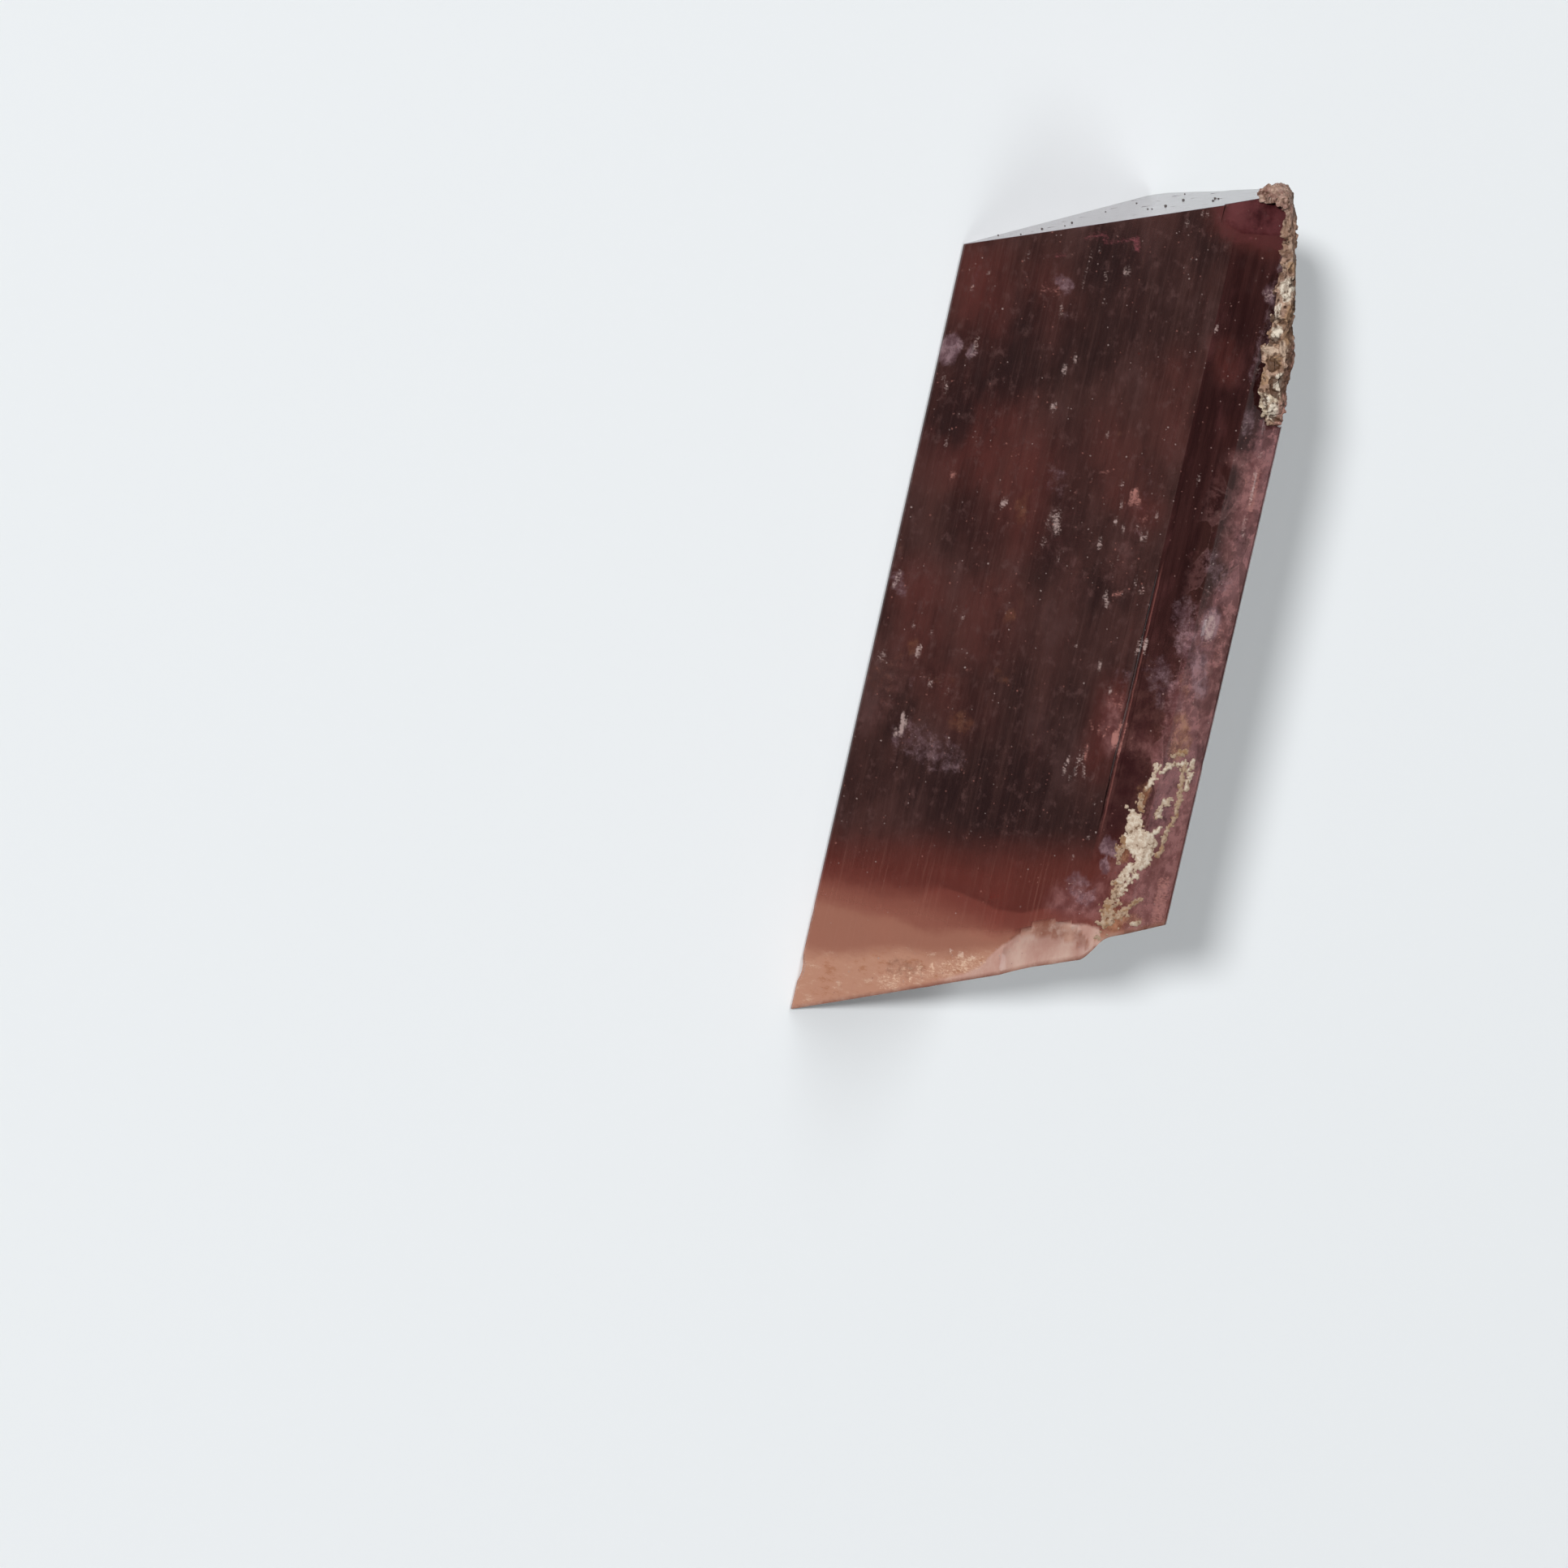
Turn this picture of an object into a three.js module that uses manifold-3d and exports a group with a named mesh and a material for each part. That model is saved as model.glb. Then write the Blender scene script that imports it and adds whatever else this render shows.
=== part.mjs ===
// Rough tourmaline: a broken length of a three-sided prism with a flat slanting termination, a
// fractured base, and a rind of the rock it grew in along one corner. The loose crystal can't
// stand on its slanting break, so it lies on the prism face behind its sharp front edge.
// Millimetres, +Z up, origin under the middle of its box.

import * as THREE from "three";
import { mergeVertices } from "three/addons/utils/BufferGeometryUtils.js";
import Module from "manifold-3d";

const wasm = await Module();
wasm.setup();

// The crystal is drawn standing, in a frame of its own: x runs across the broad front face from
// its sharp edge, y runs into the crystal, and z runs up the prism axis from the lowest point
// of the base.
const SHARP_EDGE_LENGTH = 24.0; // base to termination, along the sharp edge
const FRONT_WIDTH = 8.1; // the broad front face
const BEND_WIDTH = 1.37; // first narrow face beside it
const BEND_TILT = 10.5; // degrees that it turns away from the front
const SHOULDER_WIDTH = 1.54; // second narrow face
const SHOULDER_TILT = 28.4;
const REST_FACE_TILT = 59; // degrees between the front and the face that the crystal lies on
const BACK_FACE_TILT = 58; // degrees between the front and the other large face

const SHARP_BEVEL = 0.12; // worn corners of the section, along each side
const ROCK_CORNER_BEVEL = 0.22;
const APEX_BEVEL = 0.6;

const GROOVE_DEPTH = 0.035; // striations
const GROOVE_PITCH = { front: 0.42, narrow: 0.36, back: 0.48, rest: 1.5 };

const TERMINATION_RISE = 0.389; // its slope across the front, and the small one into the crystal
const TERMINATION_FALL = -0.026;
const UPPER_FACET = { left: 7.46, foot: 26.2, dip: 15 }; // red facet below the termination
const BASE_RISE = 0.412; // slope of the break across the front
const BASE_STEP = { from: 8.3, to: 9.0, height: 0.62 };
const SLOT = { middle: 12.2, reach: 3.5, radius: 0.1 }; // crack along the front corner

const RIND_FOOT = 20.8; // where the rock rind starts and ends along the axis
const RIND_HEAD = 27.7;
const RIND_SEAT = { point: [9.78, 0.55, 23.7], normal: [0.98, 0.05, 0.11] }; // leans in at the top
const CLEARANCE = 0.1; // between the crystal and the rock on it

const STOCK_LENGTH = 34; // of the prism before both ends are cut
const OVERSIZE = 60; // side of a block that cuts half of space away

const TOURMALINE = new THREE.MeshStandardMaterial({
  color: 0x46292b, roughness: 0.25, metalness: 0, flatShading: true,
});
const ROCK = new THREE.MeshStandardMaterial({
  color: 0x8d7362, roughness: 0.9, metalness: 0, flatShading: true,
});

const { degToRad, lerp, smoothstep } = THREE.MathUtils;

// An even spread over 0 to 1 that never repeats, from multiples of the golden ratio
const spread = (n) => (n * 0.6180339887) % 1;

// A closed geometry as a solid that can be joined and cut
function solidFrom(geometry) {
  const bare = geometry.clone();
  bare.deleteAttribute("normal");
  bare.deleteAttribute("uv");
  const merged = mergeVertices(bare, 1e-4);
  return new wasm.Manifold(new wasm.Mesh({
    numProp: 3,
    vertProperties: merged.attributes.position.array,
    triVerts: new Uint32Array(merged.index.array),
  }));
}

function geometryFrom(solid) {
  const mesh = solid.getMesh();
  const geometry = new THREE.BufferGeometry();
  geometry.setAttribute("position", new THREE.BufferAttribute(mesh.vertProperties, 3));
  geometry.setIndex(new THREE.BufferAttribute(mesh.triVerts, 1));
  geometry.computeVertexNormals();
  return geometry;
}

// A cut can leave a loose crumb, which isn't kept
const largest = (solid) => solid.decompose().sort((a, b) => b.volume() - a.volume())[0];

// The bite that a chip leaves: a stretched, turned ball
function bite(centre, radii, turn, detail) {
  const geometry = new THREE.IcosahedronGeometry(1, detail);
  geometry.rotateX(turn * Math.PI);
  geometry.rotateY(turn * 5);
  geometry.scale(...radii);
  geometry.translate(...centre);
  return solidFrom(geometry);
}

// The block that lies beyond the plane through a point, on the side that the normal points to
function beyond(point, normal) {
  const geometry = new THREE.BoxGeometry(OVERSIZE, OVERSIZE, OVERSIZE);
  geometry.translate(0, 0, OVERSIZE / 2);
  const out = new THREE.Vector3(...normal).normalize();
  const turn = new THREE.Quaternion().setFromUnitVectors(new THREE.Vector3(0, 0, 1), out);
  geometry.applyQuaternion(turn);
  geometry.translate(...point);
  return solidFrom(geometry);
}

// A section drawn in x and y, pulled along z past both ends of the crystal
function pulled(points) {
  const geometry = new THREE.ExtrudeGeometry(new THREE.Shape(points), {
    depth: STOCK_LENGTH, bevelEnabled: false,
  });
  geometry.translate(0, 0, -3);
  return solidFrom(geometry);
}

// Corners of the prism's section, counterclockwise, with the wear of each and the pitch of the
// striations on the side that follows it
const polar = (length, degrees) =>
  new THREE.Vector2(length, 0).rotateAround(new THREE.Vector2(), degToRad(degrees));
const sharpEdge = new THREE.Vector2(0, 0);
const frontCorner = new THREE.Vector2(FRONT_WIDTH, 0);
const bendCorner = frontCorner.clone().add(polar(BEND_WIDTH, BEND_TILT));
const rockCorner = bendCorner.clone().add(polar(SHOULDER_WIDTH, SHOULDER_TILT));
const restSlope = Math.tan(degToRad(REST_FACE_TILT));
const backSlope = Math.tan(degToRad(BACK_FACE_TILT));
const apexX = (rockCorner.y + backSlope * rockCorner.x) / (restSlope + backSlope);
const apex = new THREE.Vector2(apexX, apexX * restSlope);

const CORNERS = [
  { at: sharpEdge, wear: SHARP_BEVEL, pitch: GROOVE_PITCH.front },
  { at: frontCorner, wear: 0, pitch: GROOVE_PITCH.narrow },
  { at: bendCorner, wear: 0, pitch: GROOVE_PITCH.narrow },
  { at: rockCorner, wear: ROCK_CORNER_BEVEL, pitch: GROOVE_PITCH.back },
  { at: apex, wear: APEX_BEVEL, pitch: GROOVE_PITCH.rest },
];

// One side of the section from corner to corner, with a shallow V groove at every pitch or so
function striatedSide(corner, next, side) {
  const along = next.at.clone().sub(corner.at);
  const span = along.length() - corner.wear - next.wear;
  along.normalize();
  const inward = new THREE.Vector2(-along.y, along.x);
  const point = (distance, depth) => corner.at.clone()
    .addScaledVector(along, corner.wear + distance)
    .addScaledVector(inward, depth);

  const points = [point(0, 0)];
  const grooves = Math.floor(span / corner.pitch) - 1;
  for (let n = 1; n <= grooves; n++) {
    const shift = 0.5 * spread(n + 7 * side) - 0.25;
    const middle = (span * (n + shift)) / (grooves + 1);
    const half = corner.pitch * (0.06 + 0.09 * spread(3 * n + side));
    const depth = GROOVE_DEPTH * (0.5 + spread(5 * n + side));
    points.push(point(middle - half, 0), point(middle, depth), point(middle + half, 0));
  }
  points.push(point(span, 0));
  return points;
}

function striatedPrism() {
  const outline = CORNERS.flatMap((corner, n) =>
    striatedSide(corner, CORNERS[(n + 1) % CORNERS.length], n));
  return pulled(outline.filter((point, n) => point.distanceTo(outline.at(n - 1)) > 1e-3));
}

const terminationHeight = (x, y) =>
  SHARP_EDGE_LENGTH + TERMINATION_RISE * x + TERMINATION_FALL * y;

const aboveTermination = (gap = 0) =>
  beyond([0, 0, SHARP_EDGE_LENGTH + gap], [-TERMINATION_RISE, -TERMINATION_FALL, 1]);

// Shallow facet cut into the front below the termination, beside the rock corner
function upperFacet() {
  const dip = degToRad(UPPER_FACET.dip);
  const corner = [FRONT_WIDTH, 0, UPPER_FACET.foot];
  const floor = beyond(corner, [0.1, -Math.cos(dip), Math.sin(dip)]);
  return floor.intersect(beyond([UPPER_FACET.left, 0, UPPER_FACET.foot + 0.4], [1, 0.2, 0.35]));
}

// Three-sided etch pits in the termination
function etchPits() {
  const PITS = [
    [2.5, 1.6, 0.13], [3.4, 3.9, 0.1], [4.3, 5.6, 0.12], [5.2, 4.4, 0.17], [6.1, 6.9, 0.16],
    [6.6, 4.9, 0.1], [7.2, 5.6, 0.15], [4.9, 7.6, 0.11], [2.9, 3.1, 0.09], [7.4, 3.0, 0.1],
  ];
  return PITS.map(([x, y, radius]) => {
    const geometry = new THREE.ConeGeometry(radius, radius * 1.4, 3);
    geometry.rotateX(-Math.PI / 2);
    geometry.translate(x, y, terminationHeight(x, y) - radius * 0.1);
    return solidFrom(geometry);
  });
}

// The break at the foot: it rises across the front, with a step beside the rock corner, and
// behind the front edge it hollows out in shell-like rings up to one ledge
function breakHeight(x, y) {
  const front = BASE_RISE * x + BASE_STEP.height * smoothstep(x, BASE_STEP.from, BASE_STEP.to);
  const inside = smoothstep(y, 0.4, 2.2);
  const reach = Math.hypot(x - 3.2, y - 1.2);
  const rings = 0.12 * Math.cos(3.6 * reach) * Math.exp(-0.2 * reach);
  const hollow = 0.75 * Math.exp(-((x - 5.2) ** 2 + (y - 3.6) ** 2) / 5);
  const ledge = 0.5 * smoothstep(y - 0.5 * x, 2.6, 3.1);
  return front + inside * (rings + hollow + ledge) - 0.05 * y;
}

function belowBreak() {
  const size = { x: 15, y: 13, z: 12 };
  const geometry = new THREE.BoxGeometry(size.x, size.y, size.z, 34, 30, 1);
  geometry.translate(size.x / 2 - 1.5, size.y / 2 - 1.5, -size.z / 2);
  const position = geometry.attributes.position;
  for (let n = 0; n < position.count; n++)
    if (position.getZ(n) > -size.z / 2)
      position.setZ(n, breakHeight(position.getX(n), position.getY(n)));
  return solidFrom(geometry);
}

// Nicks along the sharp edge: height up the axis, half length and depth of each
function edgeNicks() {
  const NICKS = [
    [20.8, 0.75, 0.24], [19.75, 0.3, 0.16], [16.8, 0.35, 0.13], [13.65, 0.5, 0.22],
    [10.7, 0.3, 0.14], [8.9, 0.7, 0.2], [6.2, 0.4, 0.16], [3.1, 0.55, 0.24], [1.3, 0.5, 0.3],
  ];
  return NICKS.map(([z, length, depth]) =>
    bite([-0.08, 0.02, z], [depth * 1.5, depth, length], spread(z * 10), 1));
}

// Larger bites: the shell-shaped scar low on the front, a chip on the rock corner, and one at
// each end of the far edge
function scars() {
  return [
    bite([7.55, -0.75, 3.0], [2.0, 1.25, 1.85], 0.1, 4),
    bite([rockCorner.x + 0.35, rockCorner.y, 10.1], [0.5, 0.45, 0.55], 0.2, 2),
    bite([apex.x + 0.1, apex.y + 0.5, 3.6], [1.3, 1.0, 1.7], 0.35, 2),
    bite([apex.x + 0.9, apex.y + 0.1, 23.8], [1.0, 0.9, 1.5], 0.6, 2),
  ];
}

// The crack along the front corner, widest in its middle
function cornerCrack() {
  const upward = new THREE.ConeGeometry(SLOT.radius, SLOT.reach, 4);
  upward.rotateX(Math.PI / 2);
  const downward = upward.clone().rotateX(Math.PI);
  return [upward.translate(0, 0, SLOT.reach / 2), downward.translate(0, 0, -SLOT.reach / 2)]
    .map((half) => solidFrom(half.translate(FRONT_WIDTH - 0.04, -0.01, SLOT.middle)));
}

// Growth steps: long shallow terraces on the large back face, each with a slanting end
function growthSteps() {
  const TERRACES = [
    { from: 3.9, width: 1.7, low: -1, high: 15.5, depth: 0.2 },
    { from: 6.4, width: 1.3, low: 11, high: 31, depth: 0.14 },
  ];
  const along = apex.clone().sub(rockCorner).normalize();
  return TERRACES.map(({ from, width, low, high, depth }) => {
    const geometry = new THREE.BoxGeometry(width, 2 * depth, high - low);
    geometry.applyMatrix4(new THREE.Matrix4().makeShear(0, 1.8, 0, 0, 0, 0));
    geometry.rotateZ(along.angle());
    const middle = rockCorner.clone().addScaledVector(along, from + width / 2);
    geometry.translate(middle.x, middle.y, (low + high) / 2);
    return solidFrom(geometry);
  });
}

// The slice off the rock corner that the rind sits in
function rindSeat() {
  return beyond(RIND_SEAT.point, RIND_SEAT.normal).subtract(beyond([0, 0, RIND_FOOT], [0, 0, -1]));
}

function crystal() {
  const cuts = [
    aboveTermination(), upperFacet(), belowBreak(), rindSeat(),
    ...etchPits(), ...edgeNicks(), ...scars(), ...cornerCrack(), ...growthSteps(),
  ];
  return largest(cuts.reduce((body, cut) => body.subtract(cut), striatedPrism()));
}

// Lumps of about the given size: 1 in the middle of a lump, falling to about 0 between them
function lumpiness(place, size) {
  const cell = place.clone().divideScalar(size);
  const corner = cell.clone().floor();
  let nearest = 2;
  for (let i = -1; i <= 1; i++)
    for (let j = -1; j <= 1; j++)
      for (let k = -1; k <= 1; k++) {
        const box = corner.clone().add(new THREE.Vector3(i, j, k));
        const seed = Math.abs(127.1 * box.x + 311.7 * box.y + 74.7 * box.z);
        const centre = new THREE.Vector3(spread(seed), spread(1.7 * seed), spread(2.9 * seed));
        nearest = Math.min(nearest, centre.add(box).distanceTo(cell));
      }
  return 1 - nearest;
}

// Where the rind ends on the right, seen from the front: it leans in towards the top
const rindReach = (z) => 10.7 - 0.17 * Math.max(0, z - 22.6);

// How far it reaches round onto the back face, with a ragged edge
const rindBack = (z) => 2.95 + 0.4 * Math.sin(1.3 * z) + 0.22 * Math.sin(3.7 * z + 1);

// Section of the rind at a height: over the narrow faces, round the corner, onto the back face,
// and back through the crystal
function rindSection(z) {
  const reach = rindReach(z);
  const seatX = RIND_SEAT.point[0] - 0.12 * (z - RIND_SEAT.point[2]);
  const backY = rindBack(z);
  const backX = rockCorner.x - (backY - rockCorner.y) / backSlope;
  return new THREE.CatmullRomCurve3([
    new THREE.Vector3(seatX - 0.25, 0.16, z),
    new THREE.Vector3(lerp(seatX, reach, 0.6), 0.3, z),
    new THREE.Vector3(reach, 1.25, z),
    new THREE.Vector3(reach - 0.35, 2.15, z),
    new THREE.Vector3(backX + 0.32, backY, z),
    new THREE.Vector3(backX - 0.8, backY - 0.4, z),
    new THREE.Vector3(seatX - 1.2, 1.1, z),
  ], true);
}

// Crumbly rock: a drum whose rings take the rind's sections, swollen by its lumps
function rindBody() {
  const girth = 36;
  const rows = 40;
  const geometry = new THREE.CylinderGeometry(1, 1, 1, girth, rows);
  const position = geometry.attributes.position;
  const place = new THREE.Vector3();
  for (let n = 0; n < position.count; n++) {
    place.fromBufferAttribute(position, n);
    const turn = (Math.atan2(place.x, place.z) / (2 * Math.PI) + 1) % 1;
    const z = lerp(RIND_FOOT + CLEARANCE, RIND_HEAD, place.y + 0.5);
    const rim = Math.hypot(place.x, place.z);
    const curve = rindSection(z);
    const core = new THREE.Vector3(rindReach(z) - 0.9, 1.5, z);
    const skin = curve.getPoint(turn).sub(core);
    const blunt = Math.sqrt(1 - Math.abs(2 * place.y) ** 14); // both ends are rounded over
    const lumps = 0.16 * lumpiness(skin.clone().add(core), 0.75)
      + 0.1 * lumpiness(skin.clone().add(core), 0.36);
    place.copy(core).addScaledVector(skin, rim * (0.86 + lumps) * lerp(0.7, 1, blunt));
    position.setXYZ(n, place.x, place.y, place.z);
  }
  return solidFrom(geometry);
}

// The knob of rock that stands over the top corner
function rindKnob() {
  const centre = new THREE.Vector3(9.1, 0.85, 27.42);
  const geometry = new THREE.IcosahedronGeometry(1, 7);
  geometry.scale(0.66, 0.85, 0.64);
  geometry.translate(...centre);
  const position = geometry.attributes.position;
  for (let n = 0; n < position.count; n++) {
    const place = new THREE.Vector3().fromBufferAttribute(position, n);
    const swell = 1 + 0.22 * (lumpiness(place, 0.5) - 0.4);
    place.sub(centre).multiplyScalar(swell).add(centre);
    position.setXYZ(n, place.x, place.y, place.z);
  }
  return solidFrom(geometry);
}

// The crystal's plain section with clearance all round, for cutting the rock that sits on it
function crystalWithClearance() {
  const middle = new THREE.Vector2();
  CORNERS.forEach((corner) => middle.addScaledVector(corner.at, 1 / CORNERS.length));
  const growth = 1 + CLEARANCE / middle.y;
  const grown = CORNERS.map(({ at }) => at.clone().sub(middle).multiplyScalar(growth).add(middle));
  const shift = new THREE.Vector3(...RIND_SEAT.normal).normalize().multiplyScalar(CLEARANCE);
  const seat = shift.add(new THREE.Vector3(...RIND_SEAT.point)).toArray();
  return pulled(grown)
    .subtract(beyond(seat, RIND_SEAT.normal))
    .subtract(aboveTermination(CLEARANCE));
}

const rockRind = () =>
  largest(rindBody().add(rindKnob()).subtract(crystalWithClearance()));

function named(name, solid, material) {
  const mesh = new THREE.Mesh(geometryFrom(solid), material);
  mesh.name = name;
  return mesh;
}

const standing = new THREE.Group();
standing.add(
  named("tourmaline_crystal", crystal(), TOURMALINE),
  named("rock_rind", rockRind(), ROCK),
);

// Laid down: the face behind the sharp edge goes underneath, the termination points along -X,
// and the broad front face looks towards -Y and up.
const restTurn = degToRad(REST_FACE_TILT);
standing.setRotationFromMatrix(new THREE.Matrix4().makeBasis(
  new THREE.Vector3(0, Math.cos(restTurn), Math.sin(restTurn)),
  new THREE.Vector3(0, Math.sin(restTurn), -Math.cos(restTurn)),
  new THREE.Vector3(-1, 0, 0),
));

const tourmaline = new THREE.Group();
tourmaline.add(standing);
tourmaline.updateMatrixWorld(true);
const box = new THREE.Box3().setFromObject(tourmaline, true);
const middle = box.getCenter(new THREE.Vector3());
standing.position.set(-middle.x, -middle.y, -box.min.z);

export default tourmaline;
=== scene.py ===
import math

import bpy
import numpy as np
from mathutils import Matrix, Vector, noise


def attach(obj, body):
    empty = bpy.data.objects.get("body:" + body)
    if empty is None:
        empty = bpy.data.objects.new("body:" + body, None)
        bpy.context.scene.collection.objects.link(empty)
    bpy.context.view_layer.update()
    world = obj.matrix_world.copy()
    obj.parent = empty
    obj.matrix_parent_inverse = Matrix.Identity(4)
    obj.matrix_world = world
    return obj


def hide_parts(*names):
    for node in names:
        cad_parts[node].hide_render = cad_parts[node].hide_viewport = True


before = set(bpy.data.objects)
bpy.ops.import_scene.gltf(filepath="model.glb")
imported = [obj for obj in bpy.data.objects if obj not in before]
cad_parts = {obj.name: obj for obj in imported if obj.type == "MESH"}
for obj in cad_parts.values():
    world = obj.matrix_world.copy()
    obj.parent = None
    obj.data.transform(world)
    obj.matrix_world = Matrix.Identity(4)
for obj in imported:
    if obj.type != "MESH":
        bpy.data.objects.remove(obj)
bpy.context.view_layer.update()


# The table and its light: a plain pale top, a small strong lamp in front that throws the shadow,
# a wide soft one on the left, by the slanting end, and two weak ones. The camera faces the broad
# front face, a little from above the slanting end, and is rolled so that this end is up.
turn_sin, turn_cos = 0.51504, 0.85717  # the front face leans back by 31 degrees
half_length, middle_y = 14.02, 5.327  # mm, from the standing crystal's corner to the middle


def laid(u, d, t):
    """The lying place, in m, of a point given in mm: u across the front, d into it, t up."""
    return Vector((
        half_length - t, turn_sin * u + turn_cos * d - middle_y, turn_cos * u - turn_sin * d,
    )) / 1000


def aimed(thing, place, right, up, back):
    """Puts a lamp or the camera at a place, with its own right, up and back as given."""
    turn = Matrix((right, up, back)).transposed().to_4x4()
    thing.matrix_world = Matrix.Translation(place) @ turn


front_normal = Vector((0, -turn_cos, turn_sin))
up_the_prism = Vector((-1, 0, 0))
look_down = math.radians(9.1)
lean = math.radians(12.7)
looked_at = laid(4, 0, 14)
camera_distance, shift_right, shift_up = 0.3, 0.007073, 0.005729  # m
towards_camera = math.cos(look_down) * front_normal + math.sin(look_down) * up_the_prism
prism_seen = math.cos(look_down) * up_the_prism - math.sin(look_down) * front_normal
width_seen = Vector((0, turn_sin, turn_cos))
picture_right = math.sin(lean) * prism_seen + math.cos(lean) * width_seen
picture_up = math.cos(lean) * prism_seen - math.sin(lean) * width_seen

camera = bpy.data.objects.new("camera", bpy.data.cameras.new("camera"))
bpy.context.collection.objects.link(camera)
camera.data.lens = 227.6
camera.data.sensor_width = 36
camera.data.clip_start = 0.01
camera.data.clip_end = 20
aimed(
    camera, looked_at + camera_distance * towards_camera - shift_right * picture_right
    - shift_up * picture_up, picture_right, picture_up, towards_camera,
)
bpy.context.scene.camera = camera
bpy.context.scene.view_settings.view_transform = "Standard"


def new_finish(name):
    """A new material, its node tree and its main shader."""
    made = bpy.data.materials.new(name)
    made.use_nodes = True
    return made, made.node_tree, made.node_tree.nodes["Principled BSDF"]


def wire(node, **inputs):
    """Sets or wires a node's inputs, by name with _ for a space, or by number after _."""
    for name, value in inputs.items():
        by_number = name[0] == "_"
        socket = node.inputs[int(name[1:]) if by_number else name.replace("_", " ")]
        if isinstance(value, bpy.types.NodeSocket):
            node.id_data.links.new(value, socket)
        else:
            socket.default_value = value


bpy.ops.object.select_all(action="DESELECT")
bpy.ops.mesh.primitive_plane_add(size=4, location=(0, 0, 0))
table = bpy.context.object
table.name = "table_top"
table_finish, tree, shader = new_finish("pale_table")
wire(shader, Base_Color=(0.86, 0.89, 0.91, 1), Roughness=0.7, Specular_IOR_Level=0.2)
table.data.materials.append(table_finish)


def soft_lamp(name, towards, distance, size, watts):
    lamp = bpy.data.objects.new(name, bpy.data.lights.new(name, "AREA"))
    lamp.data.shape = "DISK"
    lamp.data.size = size
    lamp.data.energy = watts
    bpy.context.collection.objects.link(lamp)
    back = towards.normalized()
    side = back.orthogonal().normalized()
    aimed(lamp, distance * back, side, back.cross(side), back)


def direction(bearing, height):
    """Bearing in degrees from the front, positive towards the slanting end."""
    b, h = math.radians(bearing), math.radians(height)
    return Vector((-math.sin(b) * math.cos(h), -math.cos(b) * math.cos(h), math.sin(h)))


soft_lamp("front_lamp", direction(12.5, 23.1), 3.0, 0.22, 115)
soft_lamp("left_lamp", direction(95, 50), 2.0, 1.2, 13.2)
soft_lamp("back_lamp", direction(180, 68), 1.0, 0.6, 1.6)
soft_lamp("overhead_lamp", direction(0, 88), 1.0, 0.8, 0.4)

world = bpy.context.scene.world or bpy.data.worlds.new("room")
bpy.context.scene.world = world
world.use_nodes = True
wire(world.node_tree.nodes["Background"], Color=(0.95, 0.98, 1, 1), Strength=0.06)


# The crystal: one broken length of a three-sided tourmaline prism, striated along its sides,
# with a flat slanting termination and a shell-like break at the foot. It grew as one piece and
# was snapped off its rock.
corners = [
    # across, into, worn corner radius, points per mm on the side that follows
    (0.0, 0.0, 0.12, 18), (7.98, 0.0, 0.0, 18), (9.447, 0.250, 0.0, 18),
    (10.802, 0.982, 0.22, 9), (5.596, 9.313, 0.6, 7),
]
front_corner = corners[1][0]
beside_corner = 0.02  # mm, to the points that keep a corner crisp
bends_per_mm, worn_flat = 14, 0.6  # points on a worn corner, and how far it is flattened
end_at_edge, end_rise, end_fall = 24.0, 0.389, 0.026  # the slanting end, over the sharp edge
seat_point, seat_slope = (9.78, 0.55, 23.7), (0.98, 0.05, 0.11)  # what the rock rind sits on
lower_end_of_seat = 20.8
shell_middle = (5.6, 3.9)


def section_outline():
    """Points round the prism: place, number of the side, distance along it, inward direction."""
    found = []
    for n, (u, d, wear, density) in enumerate(corners):
        next_u, next_d, next_wear = corners[(n + 1) % len(corners)][:3]
        corner = Vector((next_u, next_d))
        along = corner - Vector((u, d))
        start, end = wear, along.length - next_wear
        along.normalize()
        count = round((end - start) * density)
        stops = [start + (end - start) * k / count for k in range(1, count)]
        stops = [start, start + beside_corner] + stops + [end - beside_corner]
        stops += [end] if next_wear else []
        for stop in stops:
            found.append((u + along.x * stop, d + along.y * stop, n, stop, -along.y, along.x))
        if next_wear:
            after = (Vector(corners[(n + 2) % len(corners)][:2]) - corner).normalized()
            before, past = corner - along * next_wear, corner + after * next_wear
            bends = max(3, round(next_wear * bends_per_mm))
            for k in range(1, bends):
                w = k / bends
                bent = (1 - w) ** 2 * before + 2 * w * (1 - w) * corner + w * w * past
                bent = bent.lerp(before.lerp(past, w), worn_flat)
                inward = along.lerp(after, w).normalized()
                found.append((bent.x, bent.y, n, end, -inward.y, inward.x))
    return np.array(found)


def smooth(value, low, high):
    """A soft step from 0 at low to 1 at high."""
    w = np.clip((value - low) / (high - low), 0, 1)
    return w * w * (3 - 2 * w)


def grain(across_mm, into_mm, up_mm, size, seed=0.0):
    """Smooth noise, about -1 to 1, with lumps of about the given size."""
    shift = Vector((seed, 0.7 * seed, -seed))
    return np.array([noise.noise(Vector(p) / size + shift)
                     for p in zip(across_mm.tolist(), into_mm.tolist(), up_mm.tolist())])


def end_height_at(u, d):
    return end_at_edge + end_rise * u - end_fall * d


def foot_height(u, d):
    """The break: rising across the front, hollowed in shell-like rings behind its edge."""
    front = 0.412 * u + 0.62 * smooth(u, 8.3, 9.0)
    inside = smooth(d, 0.4, 2.2)
    reach = np.hypot(u - 3.2, d - 1.2)
    rings = 0.12 * np.cos(3.6 * reach) * np.exp(-0.2 * reach)
    hollow = 0.75 * np.exp(-((u - 5.2) ** 2 + (d - 3.6) ** 2) / 5)
    ledge = 0.5 * smooth(d - 0.5 * u, 2.6, 3.1)
    return front + inside * (rings + hollow + ledge) - 0.05 * d


def front_depth(u):
    """How far into the crystal's frame its front and narrow faces lie."""
    return np.interp(u, [c[0] for c in corners[1:4]], [c[1] for c in corners[1:4]])


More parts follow.
